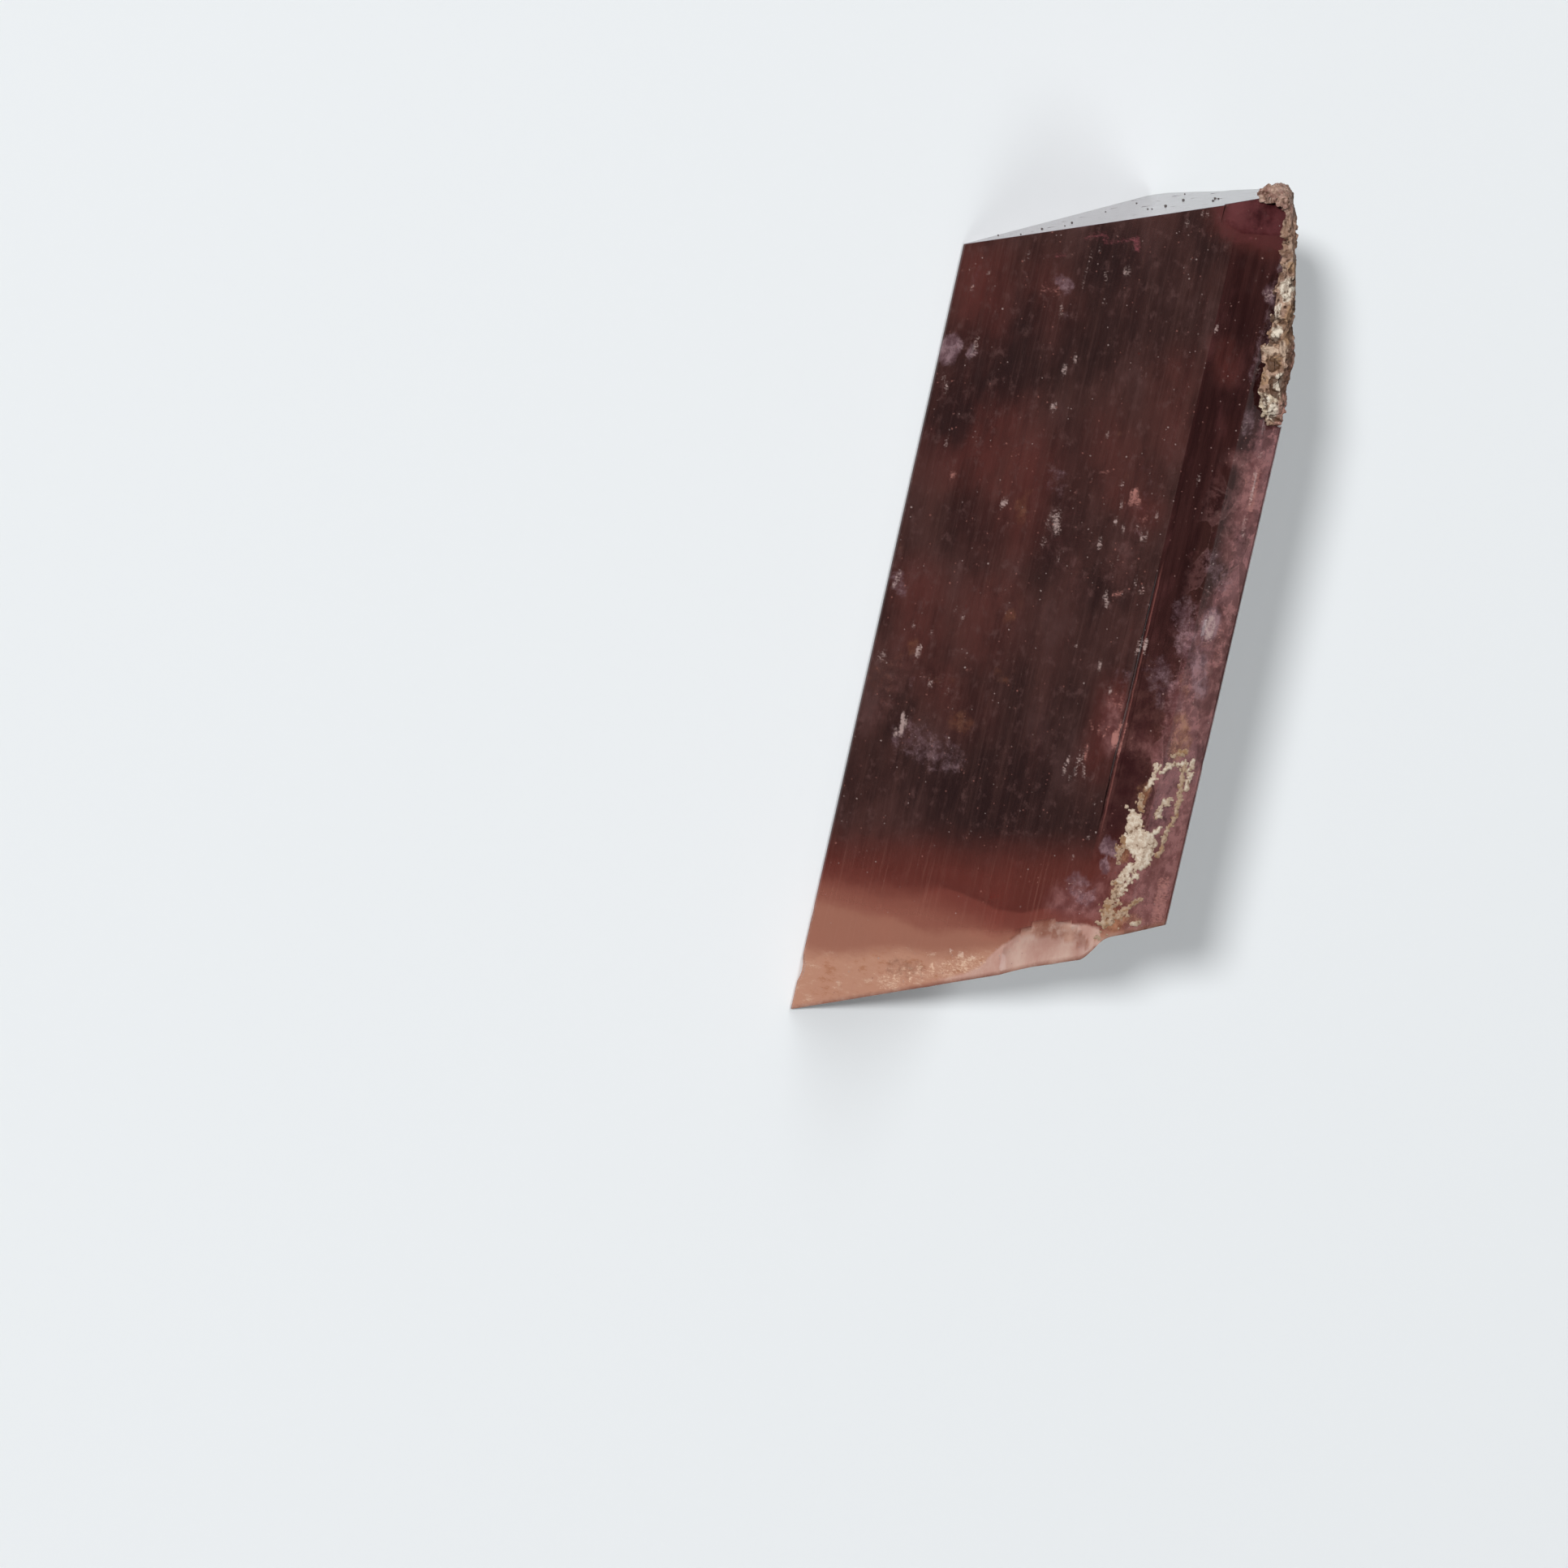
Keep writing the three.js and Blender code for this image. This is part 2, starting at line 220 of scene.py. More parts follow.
def above(point, slope):
    """How far every point in hand lies above a plane."""
    return sum(n * (value - at) for n, value, at in zip(slope, (u, d, t), point))


def off_segment(across_mm, up_mm, start, end):
    """Distance of points from a straight line between two others."""
    run, rise = end[0] - start[0], end[1] - start[1]
    from_u, from_t = across_mm - start[0], up_mm - start[1]
    along = np.clip((from_u * run + from_t * rise) / max(run ** 2 + rise ** 2, 1e-9), 0, 1)
    return np.hypot(from_u - along * run, from_t - along * rise)


def select_only(mesh_object, kind, chosen):
    """Selects the given edges or faces and leaves the mesh in edit mode."""
    bpy.ops.object.mode_set(mode="EDIT")
    bpy.ops.mesh.select_mode(type=kind)
    bpy.ops.mesh.select_all(action="DESELECT")
    bpy.ops.object.mode_set(mode="OBJECT")
    parts = {"EDGE": "edges", "FACE": "polygons"}[kind]
    getattr(mesh_object.data, parts).foreach_set("select", np.asarray(chosen, bool))
    bpy.ops.object.mode_set(mode="EDIT")


def places(mesh_object):
    found = np.empty(len(mesh_object.data.vertices) * 3)
    mesh_object.data.vertices.foreach_get("co", found)
    return found.reshape(-1, 3)


def written(mesh_object, name, values):
    """Keeps a value at every point of the mesh for the material to read."""
    layer = mesh_object.data.attributes.new(name, "FLOAT", "POINT")
    layer.data.foreach_set("value", np.asarray(values, np.float32))


outline = section_outline()
around = len(outline)
# rows of points up the prism, as shares of its height, closer together at both ends
rows_up = np.concatenate([
    np.linspace(0, 0.24, 72, endpoint=False),
    np.linspace(0.24, 0.84, 110, endpoint=False),
    np.linspace(0.84, 1, 42),
])
rings_in_foot = 22

bpy.ops.object.select_all(action="DESELECT")
bpy.ops.mesh.primitive_cylinder_add(vertices=around, radius=1, depth=1, end_fill_type="NGON")
crystal = bpy.context.object
crystal.name = "crystal_body"
ends = np.array([e.vertices[:] for e in crystal.data.edges])
height = places(crystal)[:, 2]
select_only(crystal, "EDGE", height[ends[:, 0]] * height[ends[:, 1]] < 0)
bpy.ops.mesh.subdivide(number_cuts=len(rows_up) - 2)
bpy.ops.object.mode_set(mode="OBJECT")
select_only(crystal, "FACE", [f.normal.z < -0.9 for f in crystal.data.polygons])
for ring in range(rings_in_foot - 1):
    bpy.ops.mesh.inset(thickness=1 / rings_in_foot)
bpy.ops.mesh.poke()
bpy.ops.object.mode_set(mode="OBJECT")

drum = places(crystal)
rim = np.hypot(drum[:, 0], drum[:, 1])
station = np.round(np.arctan2(drum[:, 1], drum[:, 0]) / (2 * np.pi) * around).astype(int) % around
row = np.round((drum[:, 2] + 0.5) * (len(rows_up) - 1)).astype(int)
u, d, side, along_side, inward_u, inward_d = outline[station].T.copy()
share = rows_up[row]


def height_now():
    foot = foot_height(u, d)
    return foot + (end_height_at(u, d) - foot) * share


t = height_now()

# striations: ridges and grooves of several widths that fade in and out along the prism
ridges = np.zeros(len(u))
drawn_out = 34  # times as long as wide
for width, depth in ((0.9, 0.003), (0.38, 0.004), (0.17, 0.004)):
    wavy = grain(along_side / width, t / (drawn_out * width), side * 3.1, 1.0, 5 * width)
    ridges += depth * np.where(side > 2, 2.5, 1) * (0.5 + wavy)
fading = grain(along_side, t / 3.6, side, 2.5, 3.0)
ridges *= 0.4 + 0.6 * smooth(fading, -0.3, 0.4)
ridges *= smooth(along_side, 0.0, 0.15)
u += inward_u * ridges
d += inward_d * ridges

# growth steps on the large back face
for start, width, low, high, depth in ((3.2, 2.6, -1, 17, 0.16), (5.8, 2.4, 9, 31, 0.12)):
    on_step = (side == 3) * smooth(along_side, start, start + 0.15)
    on_step *= 1 - smooth(along_side, start + 0.3, start + width)
    on_step *= smooth(t, low, low + 4) * (1 - smooth(t, high - 4, high))
    u += inward_u * depth * on_step
    d += inward_d * depth * on_step

# the flat seat that the rock rind grew on
t = height_now()
over_seat = above(seat_point, seat_slope)
u = np.where((over_seat > 0) & (t > lower_end_of_seat), u - over_seat / seat_slope[0], u)
t = height_now()


def bite(middle, reach, push):
    """Moves what lies inside a stretched ball along a direction, out to the ball's surface."""
    from_middle = np.column_stack([u, d, t]) - middle
    rel = from_middle / reach
    inside = np.einsum("ij,ij->i", rel, rel) < 1
    unit = np.array(push) / np.linalg.norm(push)
    way = unit / reach
    b = rel[inside] @ way
    c = np.einsum("ij,ij->i", rel[inside], rel[inside]) - 1
    step = (-b + np.sqrt(b * b - (way @ way) * c)) / (way @ way)
    u[inside] += step * unit[0]
    d[inside] += step * unit[1]
    t[inside] += step * unit[2]


# chips along the sharp edge
for up, length, depth in (
    (20.8, 0.75, 0.12), (19.75, 0.3, 0.09), (16.8, 0.35, 0.07), (13.65, 0.5, 0.12),
    (10.7, 0.3, 0.08), (8.9, 0.7, 0.1), (6.2, 0.4, 0.09), (3.1, 0.55, 0.14), (1.3, 0.5, 0.2),
    (22.6, 0.16, 0.06), (18.3, 0.2, 0.06), (15.4, 0.14, 0.06), (12.1, 0.2, 0.07), (7.4, 0.2, 0.07),
    (23.3, 0.1, 0.05), (17.5, 0.12, 0.05), (14.6, 0.1, 0.05), (5.1, 0.15, 0.06), (9.9, 0.12, 0.06),
):
    bite((-0.08, 0.02, up), (depth * 1.5, depth, length), (0.87, 0.49, 0))
# the shell-like scar over the foot, a chip on the corner below the rind and two on the back edge
bite((7.55, -0.75, 3.0), (2.0, 1.25, 1.85), (0, 1, 0))
bite((11.15, 0.98, 10.1), (0.5, 0.45, 0.55), (-0.9, 0.1, 0))
bite((5.7, 9.81, 3.6), (1.3, 1.0, 1.7), (-0.1, -1, 0))
bite((6.5, 9.41, 23.8), (1.0, 0.9, 1.5), (-0.3, -1, 0))
# shallow pits on the front and the narrow faces
for across_mm, up, size in (
    (0.95, 21.0, 0.32), (4.67, 16.4, 0.22), (0.66, 9.5, 0.2), (1.45, 11.5, 0.22), (6.95, 17.5, 0.2),
    (6.86, 9.15, 0.3), (9.45, 24.6, 0.16), (7.1, 16.5, 0.14), (2.6, 10.5, 0.2), (8.7, 21.65, 0.12),
    (6.97, 26.5, 0.14), (8.02, 10.1, 0.16), (10.4, 18.9, 0.2), (9.9, 14.2, 0.2),
):
    bite((across_mm, front_depth(across_mm) - size * 0.86, up), (size, size, size * 1.5), (0, 1, 0))

# the crack along the front corner, open in its middle
crack_across, crack_half = 7.95, 0.06
crack_up, crack_reach, crack_depth = 12.2, 3.5, 0.045
open_crack = crack_depth * np.clip(1 - np.abs(t - crack_up) / crack_reach, 0, 1)
open_crack *= np.clip(1 - np.abs(u - crack_across) / crack_half, 0, 1)
on_side = rim > 0.999
d += np.where((side < 2) & on_side, open_crack, 0)

# the break: every inner ring runs to the middle, and takes the height of the shell-like hollow
u = shell_middle[0] + rim * (u - shell_middle[0])
d = shell_middle[1] + rim * (d - shell_middle[1])
crumble = 0.08 * grain(u, d, 0 * u, 0.9, 1.0) + 0.02 * grain(u, d, 0 * u, 0.45, 2.0)
t = np.where(on_side, t, foot_height(u, d) + crumble * smooth(1 - rim, 0.0, 0.06))
crystal.data.vertices.foreach_set("co", np.column_stack([u, d, t]).ravel())
crystal.data.update()

# cut out of the slanting end: the shallow red facet beside the rock, and three-sided etch pits
bpy.ops.object.select_all(action="DESELECT")
bpy.ops.mesh.primitive_cube_add(size=6, location=(10.46, -1.9, 29.2))
cutters = [bpy.context.object]
dip, facet_turn = math.radians(30), 0.07
facet_foot, facet_side = (front_corner, 0, 26.17), (7.52, 0, 26.22)
bpy.ops.object.mode_set(mode="EDIT")
for point, away in ((facet_foot, (-facet_turn, math.cos(dip), -math.sin(dip))),
                    (facet_side, (-1, -0.2, -0.4))):
    bpy.ops.mesh.select_all(action="SELECT")
    bpy.ops.mesh.bisect(plane_co=point, plane_no=away, use_fill=True, clear_outer=True)
bpy.ops.object.mode_set(mode="OBJECT")
for across_mm, into_mm, radius in (
    (2.5, 1.6, 0.13), (3.4, 3.9, 0.1), (4.3, 5.6, 0.12), (5.2, 4.4, 0.17), (6.1, 6.9, 0.16),
    (6.6, 4.9, 0.1), (7.2, 5.6, 0.15), (4.9, 7.6, 0.11), (2.9, 3.1, 0.09), (7.4, 3.0, 0.1),
    (2.0, 0.9, 0.07), (3.1, 1.2, 0.07), (4.9, 1.5, 0.08), (6.0, 2.6, 0.09), (1.4, 1.3, 0.06),
    (5.6, 6.0, 0.08), (3.9, 2.6, 0.06), (6.9, 1.6, 0.06),
):
    bpy.ops.mesh.primitive_cone_add(
        vertices=3, radius1=0, radius2=1.5 * radius, depth=2 * radius, rotation=(0, 0, 0.3),
        location=(across_mm, into_mm, end_height_at(across_mm, into_mm) - radius * 0.3))
    cutters.append(bpy.context.object)
for cutter in cutters:
    cutter.select_set(True)
bpy.ops.object.join()
cutter = bpy.context.object
bpy.ops.object.select_all(action="DESELECT")
crystal.select_set(True)
bpy.context.view_layer.objects.active = crystal
cut = crystal.modifiers.new("cut", "BOOLEAN")
cut.operation = "DIFFERENCE"
cut.object = cutter
cut.solver = "EXACT"
bpy.ops.object.modifier_apply(modifier="cut")
bpy.data.objects.remove(cutter)

# What lies in and on the crystal: clouds, veils, flecks and painted glints, as strokes on
# its front.
# Each is across, up, across, up, half width and strength, in mm.
white_flecks = [
    (1.91, 23.91, 2.03, 24.16, 0.05, 0.4), (0.42, 23.27, 0.49, 23.23, 0.06, 0.8),
    (0.97, 23.33, 1.13, 23.29, 0.06, 0.7), (0.61, 22.81, 0.61, 22.81, 0.06, 0.6),
    (1.85, 22.78, 1.94, 22.78, 0.06, 0.7), (3.35, 22.93, 3.4, 22.54, 0.06, 0.6),
    (3.85, 23.5, 3.84, 24.05, 0.05, 0.4), (3.84, 24.05, 3.89, 24.64, 0.05, 0.4),
    (4.07, 24.87, 4.11, 24.76, 0.06, 0.4), (4.43, 24.04, 4.5, 23.92, 0.06, 0.5),
    (4.98, 24.28, 5.1, 24.27, 0.07, 0.8), (4.08, 21.25, 4.13, 21.45, 0.06, 0.8),
    (3.81, 20.94, 3.88, 21.03, 0.06, 0.8), (3.88, 21.03, 3.97, 20.98, 0.06, 0.7),
    (4.24, 21.04, 4.33, 20.94, 0.06, 0.6), (4.33, 20.94, 4.37, 21.07, 0.06, 0.6),
    (3.75, 19.79, 3.82, 19.88, 0.07, 0.8), (4.23, 19.54, 4.25, 19.7, 0.05, 0.5),
    (0.49, 19.78, 0.51, 19.7, 0.06, 0.8), (1.12, 18.27, 1.12, 18.26, 0.07, 0.7),
    (0.89, 18.01, 0.89, 18, 0.06, 0.6), (0.35, 19.93, 0.38, 20.03, 0.07, 0.6),
    (5.54, 19.38, 5.63, 19.31, 0.06, 0.6), (6.33, 20.33, 6.33, 20.32, 0.06, 0.5),
    (1.1, 21.29, 1.08, 20.87, 0.1, 0.5), (6.34, 21.29, 6.37, 21.25, 0.06, 0.5),
    (1.27, 17.3, 1.28, 17.29, 0.08, 0.9), (0.67, 17.55, 0.67, 17.54, 0.06, 0.5),
    (0.3, 16.65, 0.3, 16.65, 0.06, 0.6), (2.49, 16.6, 2.62, 16.63, 0.06, 0.7),
    (2.95, 16.59, 3.03, 16.61, 0.09, 0.9), (4.56, 16.61, 4.59, 16.51, 0.19, 0.62),
    (4.67, 16.36, 4.7, 16.24, 0.15, 0.7), (4.37, 16.33, 4.5, 16.39, 0.09, 0.45),
    (6.36, 16.85, 6.38, 16.85, 0.07, 0.9), (7.04, 18.61, 7.05, 18.59, 0.08, 0.8),
    (6.07, 16.04, 6.08, 16.03, 0.07, 0.9), (6.28, 16.37, 6.28, 16.37, 0.06, 0.8),
    (6.6, 15.39, 6.6, 15.39, 0.07, 0.9), (7.14, 15.75, 7.15, 15.75, 0.06, 0.8),
    (6.7, 15.83, 6.71, 15.83, 0.06, 0.7), (5.46, 15.44, 5.47, 15.44, 0.07, 0.6),
    (4.97, 15.51, 4.96, 15.31, 0.05, 0.6), (4.12, 15.15, 4.12, 15.14, 0.06, 0.5),
    (4.35, 15.74, 4.47, 15.78, 0.05, 0.5), (4.47, 15.78, 4.57, 15.67, 0.05, 0.5),
    (6.82, 16.51, 7.04, 16.51, 0.06, 0.8), (7.09, 16.77, 7.14, 16.67, 0.07, 0.7),
    (7.25, 16.53, 7.26, 16.52, 0.06, 0.8), (7.41, 16.52, 7.43, 16.52, 0.07, 0.7),
    (7.45, 16.89, 7.46, 16.87, 0.06, 0.7), (6.31, 17.95, 6.32, 17.95, 0.06, 0.7),
    (6.56, 14.63, 6.7, 14.3, 0.07, 0.8), (7.88, 14.65, 7.95, 14.47, 0.05, 0.5),
    (2.4, 13.03, 2.54, 12.92, 0.07, 0.6), (2.23, 13.07, 2.41, 13, 0.05, 0.4),
    (0.15, 14.45, 0.16, 14.45, 0.07, 0.6), (0.3, 13.87, 0.37, 13.72, 0.1, 0.6),
    (0.19, 13.54, 0.28, 13.51, 0.12, 0.6), (1.17, 12.3, 1.23, 12.29, 0.09, 0.9),
    (1.18, 12.5, 1.25, 12.57, 0.06, 0.6), (1.72, 12.29, 1.72, 12.28, 0.07, 0.5),
    (1.43, 11.75, 1.51, 11.52, 0.1, 0.9), (1.47, 11.21, 1.48, 11.2, 0.1, 0.8),
    (1.29, 9.16, 1.4, 8.91, 0.07, 0.9), (1.44, 9.6, 1.48, 9.06, 0.07, 1),
    (1.57, 9.6, 1.55, 9.31, 0.06, 0.9), (0.4, 11.25, 0.51, 11.43, 0.06, 0.6),
    (0.31, 11.01, 0.33, 11.3, 0.1, 0.5), (1.73, 10.86, 1.74, 10.85, 0.06, 0.6),
    (2.01, 10.75, 2.02, 10.75, 0.08, 0.7), (1.21, 10.63, 1.22, 10.62, 0.06, 0.6),
    (2.37, 10.81, 2.52, 10.79, 0.09, 0.7), (2.61, 10.64, 2.67, 10.6, 0.1, 0.7),
    (2.71, 10.5, 2.58, 10.49, 0.06, 0.5), (6.09, 12.87, 6.15, 12.82, 0.06, 0.7),
    (6.9, 12.44, 6.91, 12.43, 0.07, 0.8), (6.93, 12.59, 6.94, 12.58, 0.05, 0.6),
    (7.38, 11.74, 7.39, 11.73, 0.07, 0.7), (4.9, 12.01, 4.99, 12.04, 0.05, 0.5),
    (8.1, 13.54, 8.11, 13.2, 0.06, 0.9), (7.93, 13.39, 7.91, 13.11, 0.08, 0.6),
    (7.39, 15.14, 7.51, 15.01, 0.06, 0.6), (7.55, 14.97, 7.7, 14.96, 0.06, 0.5),
    (4.37, 11.28, 4.47, 11.18, 0.08, 0.5), (6.5, 9.44, 6.62, 9.34, 0.06, 0.7),
    (6.54, 9.09, 6.76, 8.94, 0.06, 0.7), (6.72, 9.53, 6.99, 9.51, 0.06, 0.7),
    (6.91, 9.3, 6.92, 9, 0.05, 0.6), (7.07, 9.4, 7.19, 9.03, 0.05, 0.6),
    (6.62, 9.34, 6.57, 9.17, 0.05, 0.6), (6.79, 9.36, 6.91, 9.37, 0.05, 0.6),
    (7.71, 8.21, 7.72, 8.2, 0.06, 0.8), (6.89, 10.04, 6.9, 10.03, 0.06, 0.8),
    (7.73, 7.24, 7.76, 7.22, 0.09, 0.6), (7.41, 6.57, 7.41, 6.57, 0.06, 0.7),
    (7.94, 5.51, 7.95, 5.5, 0.06, 0.8), (7.8, 5.56, 7.93, 5.53, 0.05, 0.5),
    (7.48, 5.69, 7.61, 5.77, 0.05, 0.4), (3.31, 7.36, 3.32, 7.35, 0.06, 0.6),
    (3.11, 5.96, 3.11, 5.95, 0.06, 0.5), (5.14, 5.03, 5.14, 5.03, 0.06, 0.7),
    (1.8, 7.31, 1.8, 7.3, 0.06, 0.6), (6.75, 26.55, 6.85, 26.53, 0.06, 0.8),
    (6.9, 26.56, 7, 26.57, 0.06, 0.6), (6.46, 26.19, 6.47, 26.18, 0.07, 0.7),
    (6.63, 23.96, 6.64, 23.96, 0.06, 0.5), (8.16, 24.61, 8.21, 24.57, 0.05, 0.5),
    (8, 23.25, 8.05, 23.2, 0.07, 0.8), (9.22, 24.64, 9.42, 24.68, 0.09, 0.5),
    (9.27, 24.52, 9.43, 24.54, 0.09, 0.6), (8.54, 21.64, 8.66, 21.75, 0.06, 0.6),
    (8.64, 18.85, 8.73, 18.9, 0.06, 0.6), (8.56, 18.64, 8.69, 18.64, 0.06, 0.6),
    (9.48, 19.38, 9.55, 19.36, 0.06, 0.6), (9.75, 19.33, 9.79, 19.37, 0.06, 0.6),
    (10.19, 19.66, 10.26, 19.66, 0.07, 0.6), (10.22, 19.04, 10.21, 18.91, 0.07, 0.7),
    (9.5, 20.51, 9.58, 20.68, 0.06, 0.4), (9.49, 22.26, 9.59, 22.25, 0.08, 0.4),
    (9.72, 21.6, 9.74, 21.7, 0.08, 0.3), (9.9, 14.5, 9.98, 14.4, 0.11, 1.0),
    (10.22, 17.66, 10.26, 17.06, 0.08, 0.5), (9.57, 11.69, 9.61, 11.59, 0.07, 0.5),
    (9.84, 14.2, 9.9, 14.05, 0.09, 1.0), (9.76, 14.42, 9.8, 14.34, 0.07, 0.8),
    (9.97, 14.1, 10, 13.98, 0.07, 0.9), (10.22, 18.7, 10.26, 18.3, 0.05, 0.8),
    (10.3, 17.9, 10.31, 17.8, 0.05, 0.8), (6.5, 17.0, 6.56, 16.96, 0.06, 0.8),
    (6.62, 16.72, 6.66, 16.7, 0.06, 0.8), (6.4, 17.4, 6.44, 17.36, 0.05, 0.7),
    (7.55, 17.3, 7.6, 17.24, 0.06, 0.7), (4.3, 2.3, 5.35, 2.72, 0.26, 0.5),
    (3.7, 2.0, 4.2, 2.2, 0.2, 0.45), (2.55, 2.17, 2.7, 2.2, 0.05, 1.1),
    (3.6, 2.6, 3.98, 2.66, 0.05, 0.7), (4.42, 2.82, 4.78, 2.86, 0.05, 1.2),
    (5.2, 2.93, 4.9, 2.6, 0.06, 0.9), (4.9, 2.6, 5.0, 2.35, 0.06, 0.7),
    (3.95, 2.38, 4.0, 2.25, 0.06, 0.9), (3.35, 1.95, 3.45, 1.7, 0.07, 0.7),
    (2.75, 1.5, 3.0, 1.62, 0.3, 0.52), (4.15, 2.1, 4.6, 2.25, 0.22, 0.4),
    (5.66, 2.98, 5.7, 2.98, 0.06, 0.9), (6.4, 3.93, 6.85, 4.17, 0.05, 0.7),
    (2.3, 1.74, 2.33, 1.74, 0.07, 0.6), (3.09, 2.04, 3.14, 2.06, 0.07, 0.6),
    (3.58, 2.19, 3.64, 2.22, 0.08, 0.6), (4.37, 2.44, 4.46, 2.5, 0.06, 0.9),
    (4.86, 2.59, 5.05, 2.74, 0.06, 0.9),
]
# painted glints: bright pink flashes of light, drawn as strokes
pink_painted_glints = [
    (3.72, 25.04, 4.11, 25.2, 0.2, 0.5), (4.18, 25.08, 5.12, 25.28, 0.15, 0.5),
    (5.06, 25.35, 5.19, 25.05, 0.13, 0.6), (2.87, 24.28, 3.26, 24.36, 0.06, 0.5),
    (2.64, 24.55, 3.22, 24.76, 0.25, 0.2), (2.7, 23.26, 3.14, 23.27, 0.14, 0.5),
    (6.81, 17.78, 6.9, 17.66, 0.14, 1), (6.72, 17.45, 6.87, 17.5, 0.11, 0.6),
    (6.68, 17.86, 6.74, 17.71, 0.1, 0.6), (7.21, 17.07, 7.27, 17.16, 0.09, 0.5),
    (5.62, 18.23, 5.83, 18.28, 0.08, 0.5), (5.4, 17.87, 5.46, 17.74, 0.06, 0.5),
    (4.98, 17.41, 5.47, 17.45, 0.05, 0.5), (6.79, 14.67, 7.04, 14.72, 0.07, 0.6),
    (1.21, 17.17, 1.34, 17.12, 0.09, 0.6), (0.7, 17.5, 1.11, 17.65, 0.3, 0.2),
    (6.34, 15.08, 6.38, 15.03, 0.15, 0.3), (7.59, 15, 7.7, 14.99, 0.07, 0.5),
    (3, 11.41, 3.16, 11.44, 0.05, 0.5), (7.52, 11.36, 7.76, 11.25, 0.3, 0.4),
    (7.79, 11.59, 7.81, 11.26, 0.09, 0.5), (2.77, 15.81, 2.83, 15.66, 0.08, 0.3),
    (3.05, 12.09, 3.1, 11.99, 0.07, 0.3), (7.08, 9.99, 7.1, 9.54, 0.06, 0.6),
    (7, 10.78, 7.15, 10.36, 0.07, 0.5), (7.29, 10.74, 7.34, 10.35, 0.07, 0.5),
    (7.59, 10.71, 7.47, 10.23, 0.07, 0.5), (7.83, 10.51, 7.88, 10.07, 0.11, 0.9),
    (7.93, 10.84, 7.9, 10.53, 0.06, 0.7), (6.74, 9.91, 7.07, 9.78, 0.22, 0.3),
    (8.1, 10.88, 8.05, 9.85, 0.05, 0.6), (8.33, 10.42, 8.37, 10.13, 0.07, 0.4),
    (8.55, 9.84, 8.65, 9.96, 0.14, 0.3), (8.88, 11.05, 9.27, 10.64, 0.3, 0.3),
    (8.18, 22.82, 8.39, 22.88, 0.08, 0.3), (8.55, 22.31, 8.68, 22.18, 0.16, 0.25),
    (7.63, 20.38, 7.72, 20.07, 0.05, 0.4), (7.73, 20.4, 7.78, 20.12, 0.05, 0.5),
    (7.57, 26.31, 8.04, 26.22, 0.08, 0.4), (8.38, 26.11, 8.45, 26.09, 0.07, 0.6),
    (7.42, 24.07, 7.53, 24.03, 0.14, 0.35), (10.01, 19.03, 10.42, 19.22, 0.2, 0.4),
    (9.92, 19, 10, 18.77, 0.07, 0.5), (10.31, 14.28, 10.36, 13.09, 0.2, 0.4),
    (9.87, 14.68, 9.96, 13.68, 0.22, 0.4), (9.57, 10.7, 9.77, 9.9, 0.26, 0.4),
    (10.25, 19.1, 10.3, 18.0, 0.12, 0.6), (10.3, 6.3, 10.35, 5.1, 0.22, 0.6),
    (9.9, 5.3, 10.1, 5.6, 0.2, 0.35), (7.0, 17.15, 7.3, 16.75, 0.14, 0.35),
]
brown_stains = [
    (0.57, 23.9, 0.76, 23.67, 0.1, 0.35), (1.6, 23.76, 1.65, 23.92, 0.08, 0.3),
    (3.48, 16.81, 3.56, 16.33, 0.22, 0.55), (2.9, 17.83, 2.95, 17.57, 0.09, 0.3),
    (3.57, 17.15, 3.89, 17.39, 0.13, 0.3), (3.85, 13.24, 3.96, 13.37, 0.17, 0.7),
    (4.14, 13.8, 4.2, 13.59, 0.13, 0.35), (2.64, 15.07, 2.68, 14.8, 0.08, 0.3),
    (1.22, 11.84, 1.31, 11.67, 0.2, 0.7), (0.91, 11.41, 0.87, 11.08, 0.2, 0.35),
    (0.49, 10.77, 0.55, 10.28, 0.5, 0.3), (2.37, 12.41, 2.63, 12.52, 0.26, 0.2),
    (3.93, 11.54, 4.15, 11.31, 0.2, 0.35), (4.25, 11.34, 4.34, 11.2, 0.15, 0.5),
    (6.36, 18.12, 6.45, 18.21, 0.1, 0.4), (3.06, 14.28, 3.1, 14.07, 0.16, 0.25),
    (4.39, 12.15, 4.4, 11.87, 0.2, 0.25), (4.7, 17.46, 4.72, 17.36, 0.26, 0.25),
    (1.92, 11.04, 2.59, 10.97, 0.2, 0.3), (0.28, 14.76, 0.28, 14.48, 0.14, 0.3),
    (5.89, 19.55, 6.05, 19.63, 0.1, 0.4), (3.04, 9.8, 3.28, 9.82, 0.32, 0.6),
    (9.8, 10.96, 9.77, 10.3, 0.28, 0.6), (10.06, 10.64, 9.96, 10.2, 0.16, 0.6),
    (8.98, 9.01, 9.08, 8.41, 0.16, 0.4), (8.98, 5.92, 8.88, 4.73, 0.26, 0.5),
    (9.08, 5.13, 9.67, 5.52, 0.2, 0.4), (8.64, 4.21, 8.69, 4.23, 0.1, 0.9),
    (9.77, 11, 9.28, 11.69, 0.35, 0.3), (9.62, 11.39, 9.77, 11.2, 0.22, 0.7),
    (8.98, 7.42, 8.88, 6.82, 0.2, 0.9), (9.18, 9.11, 9.08, 8.61, 0.12, 0.9),
    (8.88, 5.03, 9.1, 4.75, 0.26, 1.1), (9.47, 12.69, 9.67, 12.09, 0.2, 0.4),
    (9.1, 4.9, 9.75, 5.0, 0.15, 0.9), (2.9, 2.0, 3.5, 2.1, 0.35, 0.5),
]
